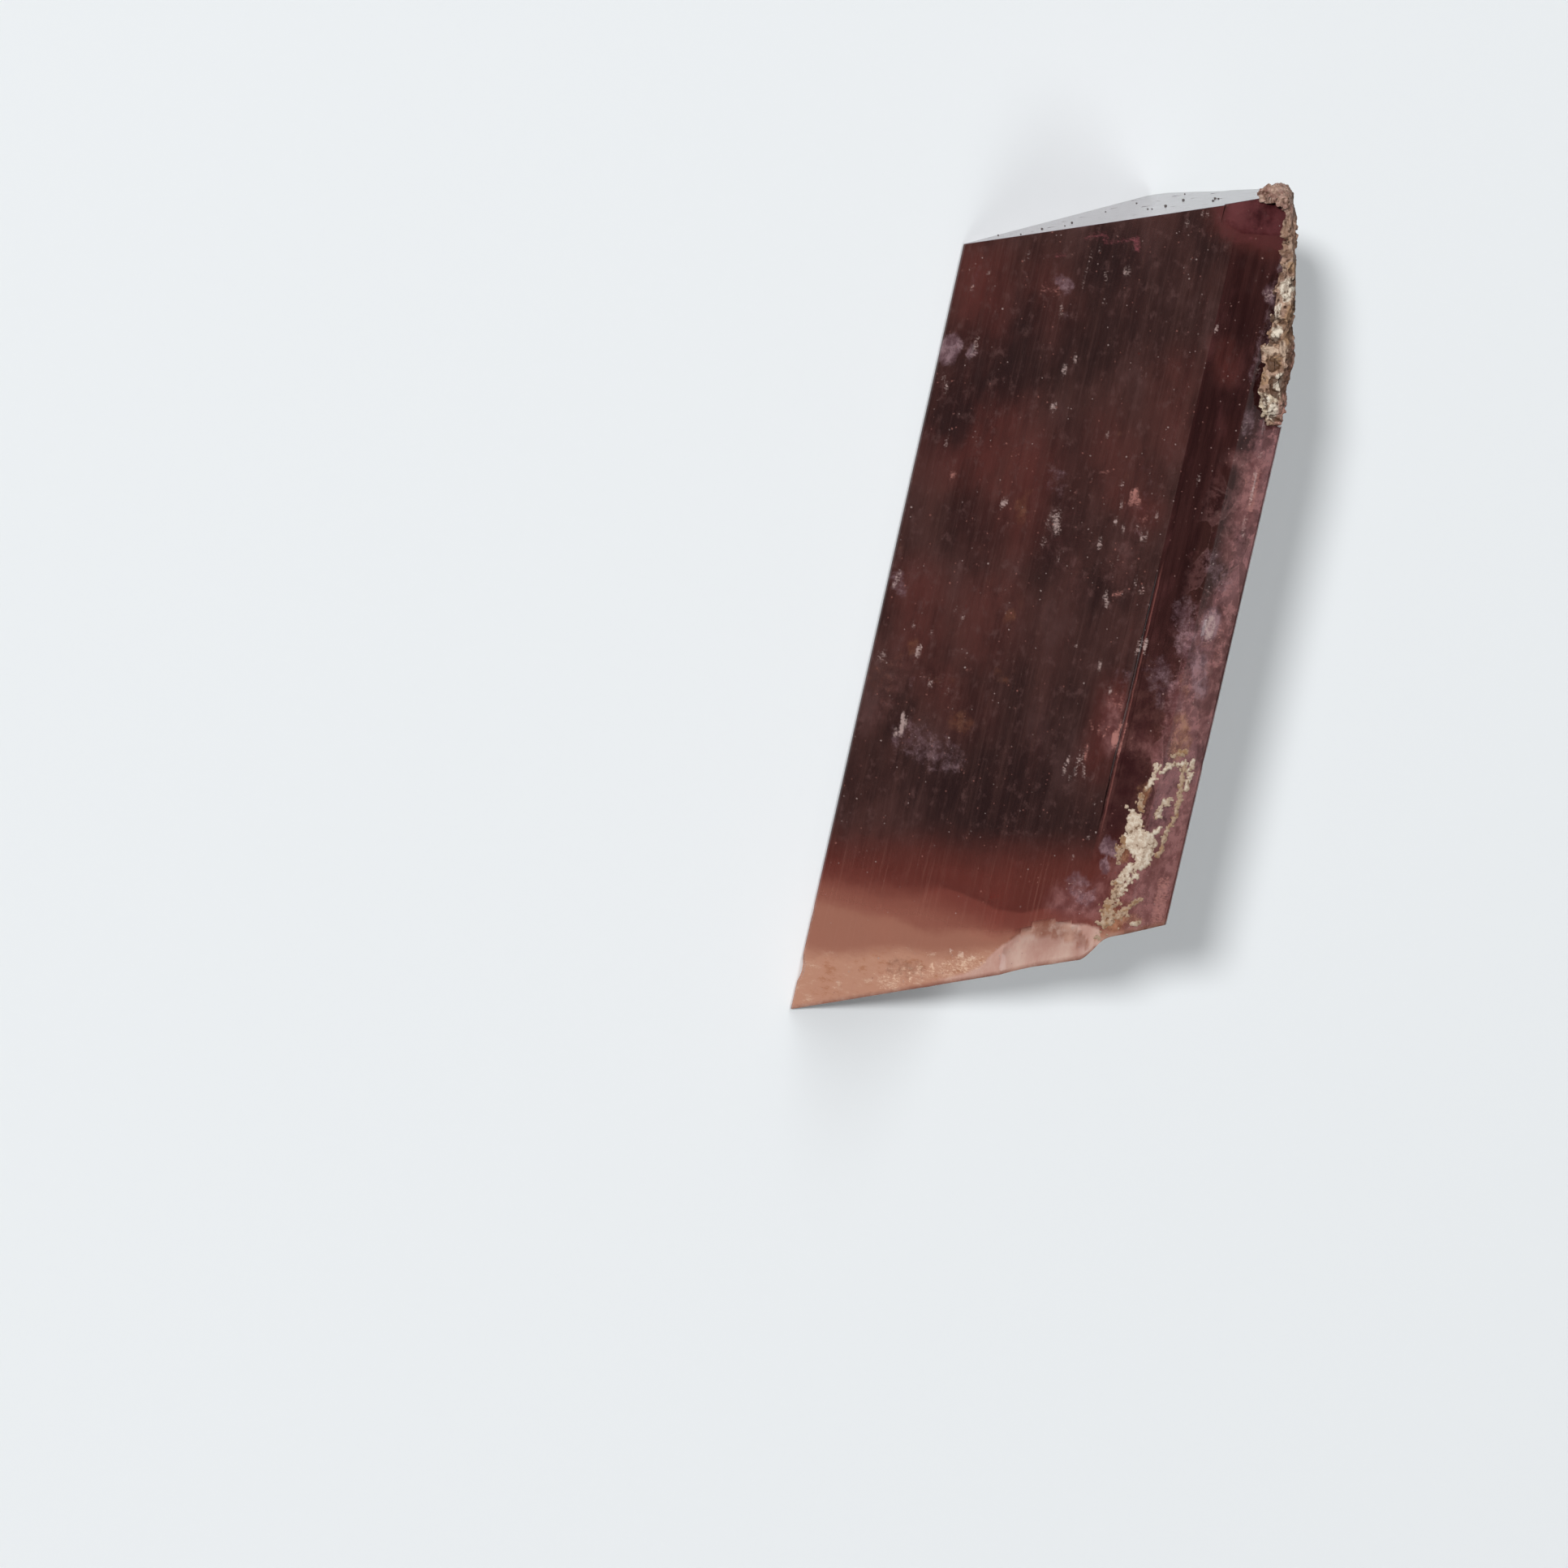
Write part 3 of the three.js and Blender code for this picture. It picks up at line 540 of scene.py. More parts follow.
mauve_veils = [
    (0.29, 20.65, 0.4, 20.99, 0.32, 1), (0.98, 20.8, 1.07, 20.99, 0.16, 0.8),
    (1.45, 10.8, 1.45, 10.6, 0.12, 0.5), (3.14, 23.59, 3.4, 23.47, 0.24, 0.75),
    (3.53, 22.64, 3.58, 22.54, 0.12, 0.35), (9.3, 24.64, 9.39, 24.58, 0.18, 0.9),
    (9.62, 25.42, 9.47, 22.04, 0.22, 0.5), (1.71, 9.01, 2.99, 8.61, 0.65, 0.5),
    (7.65, 5.82, 8.05, 5.43, 0.4, 0.6), (4.37, 17.96, 4.46, 17.46, 0.4, 0.4),
    (9.62, 20.94, 9.67, 20.35, 0.22, 0.6), (9.9, 14.6, 9.9, 14.1, 0.28, 1),
    (8.59, 12.69, 9.37, 11.69, 0.5, 0.5), (9.47, 16.37, 9.96, 15.67, 0.4, 0.5),
    (8.98, 14.68, 9.37, 13.48, 0.4, 0.6), (7.61, 12.49, 7.7, 12.09, 0.3, 0.4),
    (0.53, 23.63, 0.73, 23.03, 0.4, 0.3), (9.77, 13.28, 10.06, 12.29, 0.3, 0.7),
    (0.29, 13.78, 0.53, 13.28, 0.25, 0.6), (6.92, 18.66, 7.31, 16.67, 0.5, 0.25),
    (8.31, 7.27, 8.49, 7.17, 0.17, 0.9), (8.27, 6.97, 8.61, 6.92, 0.17, 1),
    (8.37, 6.57, 8.44, 6.37, 0.16, 0.9),
]
dark_clouds = [
    (2.3, 21.84, 2.01, 20.65, 1.15, 1), (1.61, 20.25, 0.73, 18.46, 1, 1),
    (4.46, 24.63, 5.54, 24.43, 1.2, 0.9), (5.15, 23.73, 5.25, 22.83, 1.1, 0.7),
    (5.64, 9.11, 5.35, 7.71, 1.8, 0.9), (2.99, 7.51, 4.95, 7.12, 1.3, 0.9),
    (6.23, 14.08, 6.13, 11.1, 1, 0.5), (2.99, 22.64, 4.17, 21.64, 0.8, 0.6),
    (2.2, 15.67, 2.4, 15.08, 0.8, 0.5), (8.49, 9.7, 8.49, 6.92, 0.45, 1),
    (2.11, 6.72, 3.38, 6.42, 0.8, 0.3), (4.56, 19.05, 4.86, 15.08, 0.6, 0.5),
    (9.47, 9.31, 9.67, 8.31, 0.5, 0.6), (7.31, 8.31, 7.61, 7.12, 0.8, 0.6),
    (4.37, 12.69, 4.76, 10.7, 0.7, 0.5), (6.82, 26.02, 7.02, 25.22, 0.6, 0.7),
    (3.87, 9.7, 4.17, 8.71, 0.9, 0.6),
]
rosy_clouds = [
    (0.83, 23.23, 1.22, 21.94, 0.9, 0.9), (1.81, 18.86, 1.61, 18.06, 1.3, 0.9),
    (3.38, 17.86, 3.19, 16.27, 1.2, 0.7), (2.6, 23.23, 2.89, 22.64, 0.9, 0.5),
    (7.21, 21.64, 7.51, 19.65, 0.7, 0.4), (1.03, 13.48, 1.42, 12.09, 0.8, 0.6),
    (3.19, 13.68, 3.38, 12.49, 0.9, 0.5), (8.49, 22.64, 8.69, 21.94, 0.45, 1),
    (7.61, 11.69, 7.51, 9.5, 0.5, 1), (5.54, 19.05, 6.33, 18.46, 0.9, 0.4),
    (8.59, 25.22, 8.88, 24.63, 0.5, 0.5), (9.18, 10.7, 9.47, 10, 0.6, 0.7),
    (3.78, 5.11, 5.74, 4.88, 0.3, 0.9), (2.2, 11, 3.38, 10, 0.7, 0.4),
    (6.43, 17.66, 7.21, 17.36, 0.5, 0.6), (0.73, 17.96, 1.32, 17.06, 0.5, 0.5),
    (9.08, 20.45, 9.28, 18.66, 0.4, 0.5), (8.3, 26.1, 9.15, 25.95, 0.55, 0.9),
    (7.35, 26.3, 7.5, 26.6, 0.35, 0.8),
]
pale_hazes = [
    (7.5, 5.13, 8.29, 5.23, 0.6, 0.75), (9.37, 6.32, 10.06, 4.93, 0.8, 0.9),
    (10.31, 9.11, 10.36, 5.13, 0.35, 0.9), (9.45, 12, 9.75, 10.9, 0.45, 0.7),
    (7.61, 11.39, 7.8, 10.1, 0.4, 0.6), (10.16, 19.35, 10.16, 17.66, 0.4, 0.8),
    (9.87, 17.06, 9.96, 16.47, 0.3, 0.6), (9.57, 19.45, 10.16, 19.05, 0.35, 0.6),
    (4.86, 15.67, 5.84, 14.48, 0.7, 0.25), (7.02, 17.26, 6.92, 15.27, 0.6, 0.3),
    (0.93, 11, 0.53, 9.31, 0.6, 0.3), (10.36, 14.88, 10.36, 10.9, 0.3, 0.6),
    (8.88, 13.98, 9.37, 13.68, 0.3, 0.4), (8.88, 16.27, 9.67, 16.57, 0.2, 0.4),
    (8.49, 5.82, 8.59, 5.03, 0.4, 0.6), (9.37, 4.73, 10.16, 5.03, 0.5, 0.5),
    (8.6, 10.4, 9.1, 10.2, 0.4, 0.45), (9.75, 12.3, 9.75, 11.9, 0.3, 0.4),
]
# Edges of the growth zones towards the break: across, up
red_edge = [
    (0.53, 5.03), (1.91, 5.33), (3.19, 5.62), (4.27, 5.67), (5.05, 5.82), (5.74, 5.97),
    (6.62, 6.22), (8, 6.47), (8.88, 6.92), (10.65, 7.51),
]
pink_edge = [
    (0.34, 4.73), (2.01, 4.75), (3.19, 4.83), (4.27, 4.73), (4.95, 4.6), (5.54, 4.46), (6.33, 4.55),
    (6.92, 4.83), (7.7, 4.93), (8.39, 5.03), (10.65, 5.82),
]
peach_edge = [
    (0.53, 3.58), (2.2, 3.6), (2.79, 3.58), (3.28, 3.39), (3.87, 3.49), (4.46, 3.66), (5.15, 3.75),
    (5.74, 3.79), (6.23, 3.96), (6.53, 4.09), (8.69, 4.53), (10.65, 5.23),
]
crumb_edge = [
    (0.44, 1.84), (1.03, 1.99), (2.5, 2.39), (2.99, 2.59), (3.78, 2.63), (4.46, 2.77), (5.05, 2.91),
    (5.64, 3.14), (6.62, 3.44), (8.69, 4.33), (10.65, 5.03),
]
scar_edge = [
    (3.6, 1.6), (4.54, 2.1), (5.1, 2.4), (5.45, 2.72), (5.59, 2.99), (5.84, 3.35), (6.28, 3.79),
    (6.82, 4.14), (7.27, 4.48), (7.8, 4.53), (8.33, 4.63), (8.69, 4.57), (8.81, 4.23), (8.88, 3.14),
]
shoulder_edge = [
    (3, 9.1), (6, 9.2), (10, 9.2), (12.2, 9.25), (13.2, 9.15), (14.2, 9.2), (15.2, 9.55),
    (15.9, 10.05), (16.6, 10.0), (17.4, 9.75), (18.1, 9.7), (18.5, 9.9), (19.5, 9.77), (20.2, 9.9),
    (20.8, 10.0), (21.3, 11.4),
]

u, d, t = places(crystal).T


def strokes(drawn, softness):
    """How strongly each point is covered: full in the middle of a stroke, none beyond its edge."""
    covered = np.zeros(len(u))
    on_front = np.abs(d - front_depth(u)) < 0.45
    for u0, t0, u1, t1, half, strength in drawn:
        near = on_front & (t > min(t0, t1) - 2 * half) & (t < max(t0, t1) + 2 * half)
        far = off_segment(u[near], t[near], (u0, t0), (u1, t1)) / half
        fading = 1 - smooth(far, 1 - 0.5 * softness, 1 + 0.5 * softness)
        covered[near] = np.maximum(covered[near], strength * fading)
    return covered


def beyond(edge):
    """How far below an edge, drawn across the front, every point lies."""
    return np.interp(u, *zip(*edge)) - t


for name, drawn, softness in (
    ("white", white_flecks, 1.0), ("pink", pink_painted_glints, 1.0), ("brown", brown_stains, 1.0),
    ("mauve", mauve_veils, 1.1), ("smoky", dark_clouds, 2.0), ("rosy", rosy_clouds, 2.0),
    ("haze", pale_hazes, 2.0),
):
    written(crystal, name, strokes(drawn, softness))
for name, edge in (("red_zone", red_edge), ("pink_zone", pink_edge), ("peach_zone", peach_edge),
                   ("crumb_zone", crumb_edge)):
    written(crystal, name, beyond(edge))
written(crystal, "crisp", beyond(pink_edge) * (0.1 + 0.9 * smooth(u, 3.1, 4.3)))
scar_sides = np.minimum(1.2 - d, np.minimum((u - 4.0) * 0.12, (9.0 - u) * 0.6))
written(crystal, "scar", np.minimum(beyond(scar_edge), scar_sides))
written(crystal, "front", np.abs(d - front_depth(u)) < 0.3)
written(crystal, "narrow", (u > front_corner) & (d < front_depth(u) + 0.4))
past_shoulder = u - np.interp(t, *zip(*shoulder_edge))
written(crystal, "shoulder", np.where(d < front_depth(u) + 0.5, past_shoulder, -1))
written(crystal, "broken", [v.normal.z < -0.35 for v in crystal.data.vertices])

laid_down = Matrix.Scale(0.001, 4) @ Matrix((
    (0, 0, -1, half_length), (turn_sin, turn_cos, 0, -middle_y), (turn_cos, -turn_sin, 0, 0),
    (0, 0, 0, 1),
))
crystal.data.transform(laid_down)
bpy.ops.object.shade_smooth_by_angle(angle=math.radians(8))
# the break is shaded smooth throughout
under = np.array([v.normal.x > 0.35 for v in crystal.data.vertices])
ends = np.array([e.vertices[:] for e in crystal.data.edges])
select_only(crystal, "EDGE", under[ends[:, 0]] & under[ends[:, 1]])
bpy.ops.mesh.mark_sharp(clear=True)
bpy.ops.object.mode_set(mode="OBJECT")


def seen(r, g, b, gain=1.0, shine=0.0):
    """A colour as it looks, 0 to 255, as what the surface gives back, less the shine on top."""
    plain = [((c / 255 + 0.055) / 1.055) ** 2.4 for c in (r, g, b)]
    return tuple(gain * max(c - shine, 0.1 * c) for c in plain) + (1,)


def plum(r, g, b):
    """The crystal swallows part of the light, so its colours are given back stronger."""
    return seen(r, g, b, 1.25, 0.005)


# The next functions all work on the node tree in hand, which is called tree.
def put(kind, settings=None, **inputs):
    """Adds a node, sets its options, and sets or wires its inputs."""
    made = tree.nodes.new(kind)
    for name, value in (settings or {}).items():
        setattr(made, name, value)
    wire(made, **inputs)
    return made


def standing_place():
    """Object coordinates turned back to the crystal as it stands, in mm: across, into, up."""
    turned = Matrix(((0, turn_sin, turn_cos), (0, turn_cos, -turn_sin), (-1, 0, 0)))
    return put(
        "ShaderNodeMapping", Vector=put("ShaderNodeTexCoord").outputs["Object"],
        Location=(turn_sin * middle_y, turn_cos * middle_y, half_length),
        Rotation=turned.to_euler("XYZ"), Scale=(1000, 1000, 1000),
    ).outputs[0]


def arith(operation, a, b=0.0):
    return put("ShaderNodeMath", {"operation": operation}, _0=a, _1=b).outputs[0]


def times(a, b):
    return arith("MULTIPLY", a, b)


def plus(a, b):
    return arith("ADD", a, b)


def minus(a, b):
    return arith("SUBTRACT", a, b)


def ranged(value, low, high, to_low=0.0, to_high=1.0):
    return put(
        "ShaderNodeMapRange", {"interpolation_type": "SMOOTHSTEP"},
        Value=value, From_Min=low, From_Max=high, To_Min=to_low, To_Max=to_high,
    ).outputs[0]


def blend(share, below, above):
    return put("ShaderNodeMix", {"data_type": "RGBA"}, _0=share, _6=below, _7=above).outputs[2]


def layered(below, *coats):
    """Lays coats, each a share and a colour, one over the other."""
    for share, colour in coats:
        below = blend(share, below, colour)
    return below


def cell_pattern(where, scale):
    """Cells of random size: how far from a cell's middle, and the cell's own random values."""
    found = put("ShaderNodeTexVoronoi", Vector=where, Scale=scale).outputs
    return found["Distance"], put("ShaderNodeSeparateColor", Color=found["Color"]).outputs


def from_rim(where, scale):
    """How far from the rim of a cell of the same pattern."""
    return put("ShaderNodeTexVoronoi", {"feature": "DISTANCE_TO_EDGE"},
               Vector=where, Scale=scale).outputs["Distance"]


mineral_grain = tree = bpy.data.node_groups.new("mineral_grain", "ShaderNodeTree")
for name, kind in (("Scale", "Float"), ("Stretch", "Vector"), ("Shift", "Float"),
                   ("Detail", "Float"), ("Roughness", "Float")):
    tree.interface.new_socket(name, in_out="INPUT", socket_type="NodeSocket" + kind)
tree.interface.new_socket("Amount", in_out="OUTPUT", socket_type="NodeSocketFloat")
given = put("NodeGroupInput").outputs
shifted = put("ShaderNodeMapping", Vector=standing_place(), Scale=given["Stretch"],
              Location=given["Shift"]).outputs[0]
cloudy = put("ShaderNodeTexNoise", Vector=shifted, Scale=given["Scale"],
             Detail=given["Detail"], Roughness=given["Roughness"])
put("NodeGroupOutput", Amount=cloudy.outputs[0])


def clouds(scale, stretch=(1, 1, 1), detail=4.0, roughness=0.55, shift=0.0):
    return put("ShaderNodeGroup", {"node_tree": mineral_grain}, Scale=scale, Stretch=stretch,
               Shift=shift, Detail=detail, Roughness=roughness).outputs[0]


def kept(name):
    return put("ShaderNodeAttribute", {"attribute_name": name}).outputs["Fac"]


tourmaline, tree, shader = new_finish("tourmaline")
place = standing_place()
at_u, at_d, at_t = put("ShaderNodeSeparateXYZ", Vector=place).outputs
billow = clouds(0.4, (1, 1, 0.5), 5.0, 0.6)
drift = clouds(1.1, (1, 1, 0.45), 6.0, 0.6, 7.0)
wisp = clouds(3.0, (1, 1, 0.8), 6.0, 0.7, 13.0)
ragged = minus(clouds(4.0, (1, 1, 1), 6.0, 0.75, 3.0), 0.5)
flake = minus(clouds(9.0, (1, 1, 1.7), 5.0, 0.8, 5.0), 0.5)
streak = clouds(5.0, (1, 1, 0.045), 5.0, 0.65)
hairline = clouds(13.0, (1, 1, 0.025), 3.0, 0.65)


def frayed(value, amount):
    """The same value with a ragged edge."""
    return plus(value, times(ragged, amount))


rosy, smoky, front, narrow = kept("rosy"), kept("smoky"), kept("front"), kept("narrow")
crumb_zone, broken = kept("crumb_zone"), kept("broken")
end_height = minus(plus(end_at_edge, times(at_u, end_rise)), times(at_d, end_fall))
on_end = ranged(minus(at_t, end_height), -0.014, -0.006)

# the body: plum, cloudy, with streaks along the prism
tone = layered(
    blend(ranged(billow, 0.38, 0.62), plum(57, 38, 36), plum(72, 47, 44)),
    (ranged(drift, 0.5, 0.72, 0.0, 0.75), plum(82, 58, 56)),
    (ranged(drift, 0.5, 0.3, 0.0, 0.8), plum(46, 31, 30)),
    (times(rosy, ranged(drift, 0.3, 0.6, 0.5, 0.9)), plum(92, 47, 43)),
    (times(smoky, ranged(drift, 0.65, 0.4, 0.5, 0.9)), plum(43, 30, 30)),
    (ranged(wisp, 0.52, 0.68, 0.0, 0.5), plum(94, 68, 66)),
    (ranged(streak, 0.48, 0.75, 0.0, 0.25), plum(92, 63, 58)),
    (ranged(streak, 0.5, 0.28, 0.0, 0.25), plum(40, 25, 25)),
    (ranged(hairline, 0.5, 0.75, 0.0, 0.2), plum(92, 62, 58)),
)

# the narrow faces: dark beside the front, lighter towards the foot, pink at the rock corner
beside = layered(
    blend(ranged(streak, 0.35, 0.65), plum(44, 25, 25), plum(58, 34, 33)),
    (ranged(frayed(at_t, 4.0), 14.5, 8.5),
     blend(ranged(wisp, 0.4, 0.6), plum(66, 38, 38), plum(96, 62, 58))),
    (ranged(drift, 0.5, 0.7, 0.0, 0.5), plum(86, 50, 50)),
    (times(smoky, 0.75), plum(50, 26, 27)),
    # sparse pale specks that paint small glints on the narrow faces
    (ranged(flake, 0.13, 0.3, 0.0, 0.6), plum(116, 78, 74)),
)
flaky = ranged(at_t, 4.5, 9.0, 0.25, 0.8)
pink_shoulder = layered(
    blend(ranged(drift, 0.38, 0.62), plum(88, 54, 54), plum(128, 88, 90)),
    (times(flaky, ranged(wisp, 0.5, 0.62)), plum(156, 108, 108)),
    (times(flaky, ranged(wisp, 0.46, 0.36)), plum(70, 40, 42)),
)
tone = layered(
    tone,
    (times(narrow, ranged(rosy, 0.2, 0.9, 0.92, 0.45)), beside),
    (ranged(frayed(kept("shoulder"), 1.3), -0.15, 0.3, 0.0, 0.92), pink_shoulder),
)

# cells of fractures that healed inside the narrow faces, some pale and some dark
stretched = put("ShaderNodeMapping", Vector=place, Scale=(1, 1, 0.55)).outputs[0]
cell = frayed(cell_pattern(stretched, 1.7)[1][0], 1.3)
rims = frayed(from_rim(stretched, 1.7), 0.3)
inner = times(times(ranged(frayed(at_u, 0.9), 8.75, 9.2), ranged(at_t, 19.5, 18.0)), narrow)
tone = layered(
    tone,
    (times(inner, ranged(cell, 0.55, 0.75, 0.0, 0.25)), plum(132, 92, 90)),
    (times(inner, ranged(cell, 0.42, 0.26, 0.0, 0.45)), plum(64, 40, 36)),
    (times(inner, ranged(rims, 0.03, -0.02, 0.0, 0.22)), plum(160, 120, 116)),
)

# the red facet under the slanting end, and the red glow in the stone around it
red_facet = layered(
    blend(ranged(drift, 0.4, 0.6), plum(58, 29, 31), plum(92, 50, 52)),
    (ranged(frayed(at_u, 0.8), 8.5, 7.9, 0.0, 0.6), plum(106, 60, 61)),
    (ranged(frayed(at_t, 0.9), 26.5, 26.15, 0.0, 0.75), plum(66, 30, 31)),
)
off_facet = plus(times(minus(at_u, facet_foot[0]), facet_turn), minus(
    times(minus(at_t, facet_foot[2]), math.sin(dip)), times(at_d, math.cos(dip))))
on_facet = times(ranged(arith("ABSOLUTE", off_facet), 0.025, 0.012),
                 ranged(plus(at_u, times(minus(at_t, facet_side[2]), 0.4)), 7.5, 7.54))
on_facet = times(on_facet, ranged(frayed(at_u, 0.7), 7.4, 7.7))
on_facet = times(on_facet, ranged(plus(at_t, times(at_u, 0.35)), 29.0, 29.06))
glow = ranged(frayed(plus(at_u, times(minus(at_t, 26.6), 0.6)), 0.7), 7.0, 7.4)
glow = times(times(front, glow), ranged(frayed(at_t, 0.9), 25.7, 26.1))
tone = layered(tone, (times(glow, 0.65), plum(92, 50, 50)), (on_facet, red_facet))

# growth zones towards the break: redder, then paler, one with a crisp curved edge
sway = times(minus(clouds(0.9, (1, 1, 2.5), 5.0, 0.6, 2.0), 0.5), 1.2)
for name, low, high, most, swaying, fraying, colour in (
    ("red_zone", -1.2, 0.6, 0.8, 0.35, 0.25, plum(98, 49, 43)),
    ("crisp", -0.03, 0.1, 0.7, 0.04, 0.08, plum(120, 64, 56)),
    ("pink_zone", 0.1, 1.3, 0.7, 0.35, 0.25, plum(146, 94, 80)),
    ("peach_zone", -0.1, 0.35, 0.6, 0.35, 0.25, plum(160, 112, 94)),
    ("crumb_zone", -0.3, 0.3, 0.85, 0.35, 0.25, plum(184, 138, 116)),
):
    edge = frayed(plus(kept(name), times(sway, swaying)), fraying)
    tone = blend(ranged(edge, low, high, 0.0, most), tone, colour)
zoned = ranged(kept("red_zone"), -0.8, 0.6)
crumb_shape = clouds(1.9, (0.8, 1, 1.7), 7.0, 0.8, 11.0)
crumbs = times(ranged(crumb_zone, -0.35, 0.5), ranged(crumb_shape, 0.54, 0.66))
tone = layered(
    tone,
    (times(zoned, ranged(hairline, 0.52, 0.74, 0.0, 0.16)), plum(168, 118, 104)),
    (times(zoned, ranged(flake, 0.06, 0.3, 0.0, 0.28)), plum(178, 128, 112)),
    (times(zoned, ranged(flake, -0.06, -0.3, 0.0, 0.22)), plum(84, 40, 36)),
    (ranged(frayed(kept("haze"), 0.7), 0.15, 0.9, 0.0, 0.8),
     blend(ranged(wisp, 0.4, 0.62), plum(108, 66, 65), plum(146, 100, 98))),
    (times(crumbs, 0.65), plum(208, 176, 154)),
    (times(ranged(crumb_zone, -0.4, 0.4), ranged(crumb_shape, 0.47, 0.38, 0.0, 0.6)),
     plum(160, 106, 78)),
    (ranged(frayed(kept("scar"), 0.2), -0.03, 0.12, 0.0, 0.92),
     blend(ranged(drift, 0.35, 0.65), plum(182, 140, 128), plum(206, 176, 162))),
)

# the crack beside the front corner: a dark line of painted shade in its opening, a pale painted
# highlight along its edge, and a faint dark line past that
bent = plus(at_u, times(sway, 0.06))
cracked = times(front, times(ranged(at_t, 16.2, 15.0), ranged(at_t, 6.8, 8.6)))
patchy = ranged(plus(streak, flake), 0.3, 0.55, 0.3, 1.0)
for middle, half, strength, colour in (
    (8.07, 0.03, 0.6, plum(130, 80, 74)), (7.97, 0.036, 0.95, plum(24, 8, 8)),
    (8.21, 0.025, 0.35, plum(34, 14, 14)),
):
    line = ranged(arith("ABSOLUTE", minus(bent, middle)), half, half * 0.4)
    tone = blend(times(times(line, cracked), times(patchy, strength)), tone, colour)

# stains, veils, painted glints and flecks
misty = ranged(wisp, 0.4, 0.62)
stain = blend(narrow, blend(misty, plum(98, 60, 48), plum(122, 82, 64)),
              blend(misty, plum(128, 84, 62), plum(170, 128, 98)))
veil = blend(ranged(wisp, 0.4, 0.6), plum(102, 76, 82), plum(150, 122, 128))
# painted glints: pink flashes of light painted into the colour, more crimson high up the prism
painted_glint = blend(ranged(at_t, 23.0, 24.0), plum(176, 122, 114), plum(140, 78, 84))
pale = blend(ranged(crumb_zone, -0.5, 0.3), plum(184, 160, 155), plum(226, 194, 168))
for name, rough_edge, amount, low, high, most, colour in (
    ("brown", ragged, 1.6, 0.2, 1.0, 0.7, stain), ("mauve", ragged, 1.6, 0.3, 0.95, 0.7, veil),
    ("pink", flake, 1.6, 0.35, 0.85, 0.8, painted_glint), ("white", flake, 3.2, 0.35, 1.0, 0.72, pale),
):
    covered = plus(kept(name), times(rough_edge, amount))
    some = times(ranged(covered, low, high, 0.0, most), ranged(kept(name), 0.02, 0.2))
    tone = blend(some, tone, colour)
for closeness, reach in ((3.0, 0.12), (5.5, 0.15)):
    away, chance = cell_pattern(place, closeness)
    specks = times(ranged(plus(away, times(flake, 0.25)), reach, 0.03),
                   ranged(chance[0], 0.45, 0.75, 0.0, 0.8))
    tone = blend(specks, tone, blend(chance[1], plum(140, 92, 84), plum(160, 142, 138)))

# the slanting end, a light grey mauve that partly paints the sheen it shows at a glancing angle,
# with painted shade towards the rock, and the peach shell of the break
shell = layered(
    blend(ranged(drift, 0.35, 0.65), plum(150, 98, 82), plum(200, 156, 138)),
    (ranged(wisp, 0.5, 0.7, 0.0, 0.6), plum(214, 184, 170)),
    (ranged(billow, 0.5, 0.7, 0.0, 0.6), plum(132, 74, 64)),
)
tone = layered(
    tone,
    (times(on_end, ranged(wisp, 0.3, 0.7, 0.8, 1.0)),
     blend(ranged(drift, 0.3, 0.7), plum(104, 88, 96), plum(126, 110, 118))),
    # painted shade: darker towards the rock, to even out the reflection that is brighter there
    (times(on_end, ranged(at_u, 4.0, 8.0, 0.0, 0.8)), plum(78, 64, 74)),
    (times(broken, 0.9), shell),
)

# the shine: clear on the front, duller on the hidden faces and finely combed along the prism
unbroken = minus(1.0, broken)
hidden = times(minus(1.0, arith("MAXIMUM", front, on_end)), unbroken)
dullness = times(ranged(hairline, 0.3, 0.75, 0.0, 0.05), unbroken)
for where, amount in (
    (broken, ranged(drift, 0.3, 0.7, 0.0, 0.12)), (hidden, ranged(streak, 0.35, 0.65, 0.02, 0.16)),
    (on_end, ranged(wisp, 0.3, 0.7, 0.0, 0.06)),
):
    dullness = plus(dullness, times(where, amount))
uncombed = arith("MAXIMUM", arith("MAXIMUM", ranged(crumb_zone, -0.1, 0.2), broken), on_end)
combed = times(minus(hairline, 0.5), plus(1.0, times(hidden, 1.2)))
combed = times(combed, minus(1.0, uncombed))
wire(
    shader, Base_Color=tone, Roughness=plus(dullness, 0.07), IOR=1.63, Specular_IOR_Level=0.35,
    Transmission_Weight=0.5,
    Normal=put("ShaderNodeBump", Strength=0.25, Distance=0.00001, Height=combed).outputs[0],
)
absorb = put("ShaderNodeVolumeAbsorption", Color=(0.62, 0.14, 0.12, 1), Density=260.0)
wire(tree.nodes["Material Output"], Volume=absorb.outputs[0])

crystal.data.materials.clear()
crystal.data.materials.append(tourmaline)
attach(crystal, "root")
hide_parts("tourmaline_crystal")
